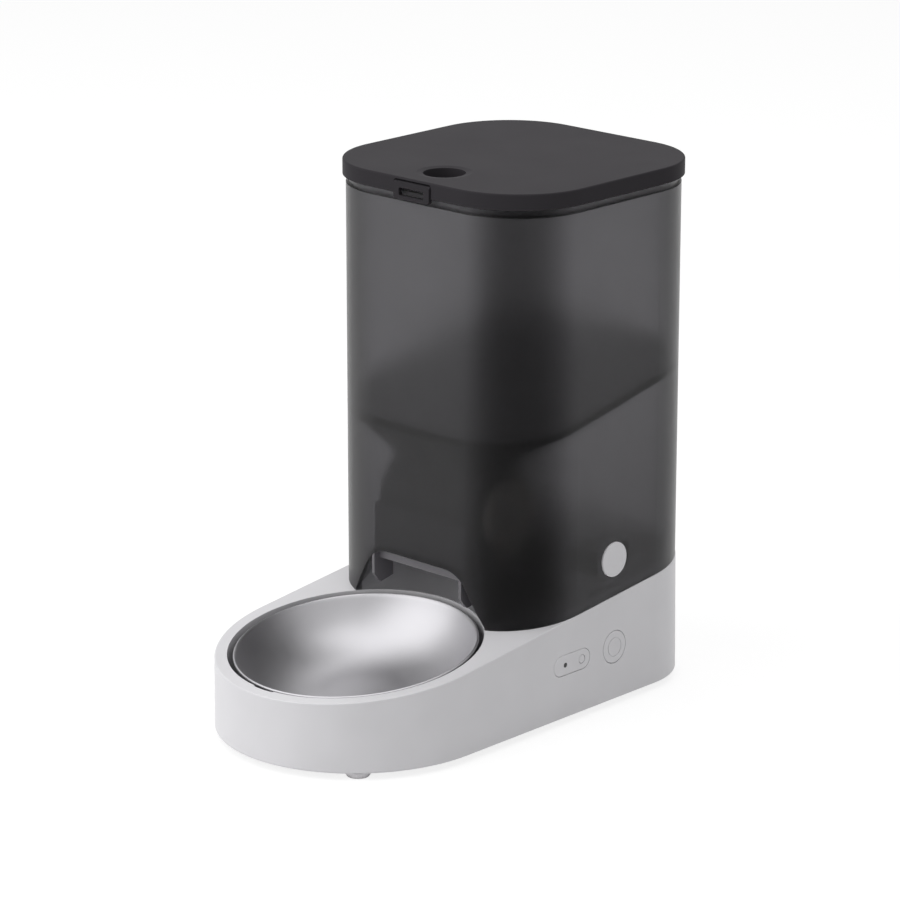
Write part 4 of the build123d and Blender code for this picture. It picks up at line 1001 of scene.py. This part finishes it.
def white_floor():
    """Pale floor that shows as white and keeps the feeder's soft shadow."""
    bpy.ops.object.select_all(action="DESELECT")
    bpy.ops.mesh.primitive_circle_add(
        vertices=64, radius=FLOOR_RADIUS, fill_type="NGON", location=(0, 0, 0)
    )
    floor = bpy.context.object
    floor.name = "studio_floor"
    material, tree = empty_material("studio_paper")
    paper = add_node(tree, "ShaderNodeBsdfDiffuse", {"Color": FLOOR_PAPER})
    shadow = add_node(tree, "ShaderNodeBsdfDiffuse", {"Color": FLOOR_SHADOW})
    glow = add_node(tree, "ShaderNodeEmission", {"Strength": FLOOR_GLOW})
    lifted = add_node(tree, "ShaderNodeAddShader", links={0: (shadow, 0), 1: (glow, 0)})
    both = add_node(
        tree,
        "ShaderNodeMixShader",
        links={"Fac": (seen_directly(tree), 0), 1: (paper, 0), 2: (lifted, 0)},
    )
    add_node(tree, "ShaderNodeOutputMaterial", links={"Surface": (both, 0)})
    floor.data.materials.append(material)


def turn_towards(thing, aim):
    """Turns a lamp or the camera from its place towards a point."""
    thing.rotation_euler = (aim - thing.location).to_track_quat("-Z", "Y").to_euler()


def soft_box(name, place, side, watts):
    """Square area light at a place, facing the feeder."""
    light = bpy.data.lights.new(name, "AREA")
    light.shape = "RECTANGLE"
    light.size, light.size_y, light.energy = side, side, watts
    lamp = bpy.data.objects.new(name, light)
    bpy.context.scene.collection.objects.link(lamp)
    lamp.location = place
    turn_towards(lamp, LAMP_AIM)


class FEEDER_OT_stage(bpy.types.Operator):
    """Floor, surroundings, soft boxes and the camera"""

    bl_idname = "feeder.stage"
    bl_label = "Stage"

    def execute(self, context):
        settings = context.scene.feeder.stage
        white_surroundings(settings.fill)
        white_floor()
        soft_box("key_box", KEY_PLACE, KEY_SIDE, settings.key)
        soft_box("top_box", TOP_PLACE, TOP_SIDE, settings.top)
        camera_data = bpy.data.cameras.new("camera")
        camera = bpy.data.objects.new("camera", camera_data)
        context.scene.collection.objects.link(camera)
        camera.location = CAMERA_PLACE
        turn_towards(camera, CAMERA_AIM)
        camera_data.lens = CAMERA_LENS
        camera_data.sensor_width = CAMERA_SENSOR
        context.scene.camera = camera
        context.scene.view_settings.view_transform = "Standard"
        return {"FINISHED"}


STEPS = (
    FEEDER_OT_finishes,
    FEEDER_OT_bowl,
    FEEDER_OT_feet,
    FEEDER_OT_screws,
    FEEDER_OT_springs,
    FEEDER_OT_sachet,
    FEEDER_OT_stage,
)


class FEEDER_PT_panel(bpy.types.Panel):
    """Lists the feeder's sizes, colours and making steps"""

    bl_idname = "FEEDER_PT_panel"
    bl_label = "Feeder"
    bl_space_type = "VIEW_3D"
    bl_region_type = "UI"
    bl_category = "Feeder"

    def draw(self, context):
        settings = context.scene.feeder
        for title in ("colours", "bowl", "screws", "springs", "sachet", "stage"):
            group = getattr(settings, title)
            box = self.layout.box()
            box.label(text=title.capitalize())
            for name in group.__annotations__:
                box.prop(group, name)
        for step in STEPS:
            self.layout.operator(step.bl_idname)


GROUPS = (
    FeederColours,
    FeederBowl,
    FeederScrews,
    FeederSprings,
    FeederSachet,
    FeederStage,
    FeederSettings,
)
CLASSES = (*GROUPS, *STEPS, FEEDER_PT_panel)


def register():
    for cls in CLASSES:
        bpy.utils.register_class(cls)
    bpy.types.Scene.feeder = PointerProperty(type=FeederSettings)


def unregister():
    del bpy.types.Scene.feeder
    for cls in reversed(CLASSES):
        bpy.utils.unregister_class(cls)


def main():
    register()
    bpy.ops.feeder.finishes()
    bpy.ops.feeder.bowl()
    bpy.ops.feeder.feet()
    bpy.ops.feeder.screws()
    bpy.ops.feeder.springs()
    bpy.ops.feeder.sachet()
    bpy.ops.feeder.stage()


if __name__ == "__main__":
    main()
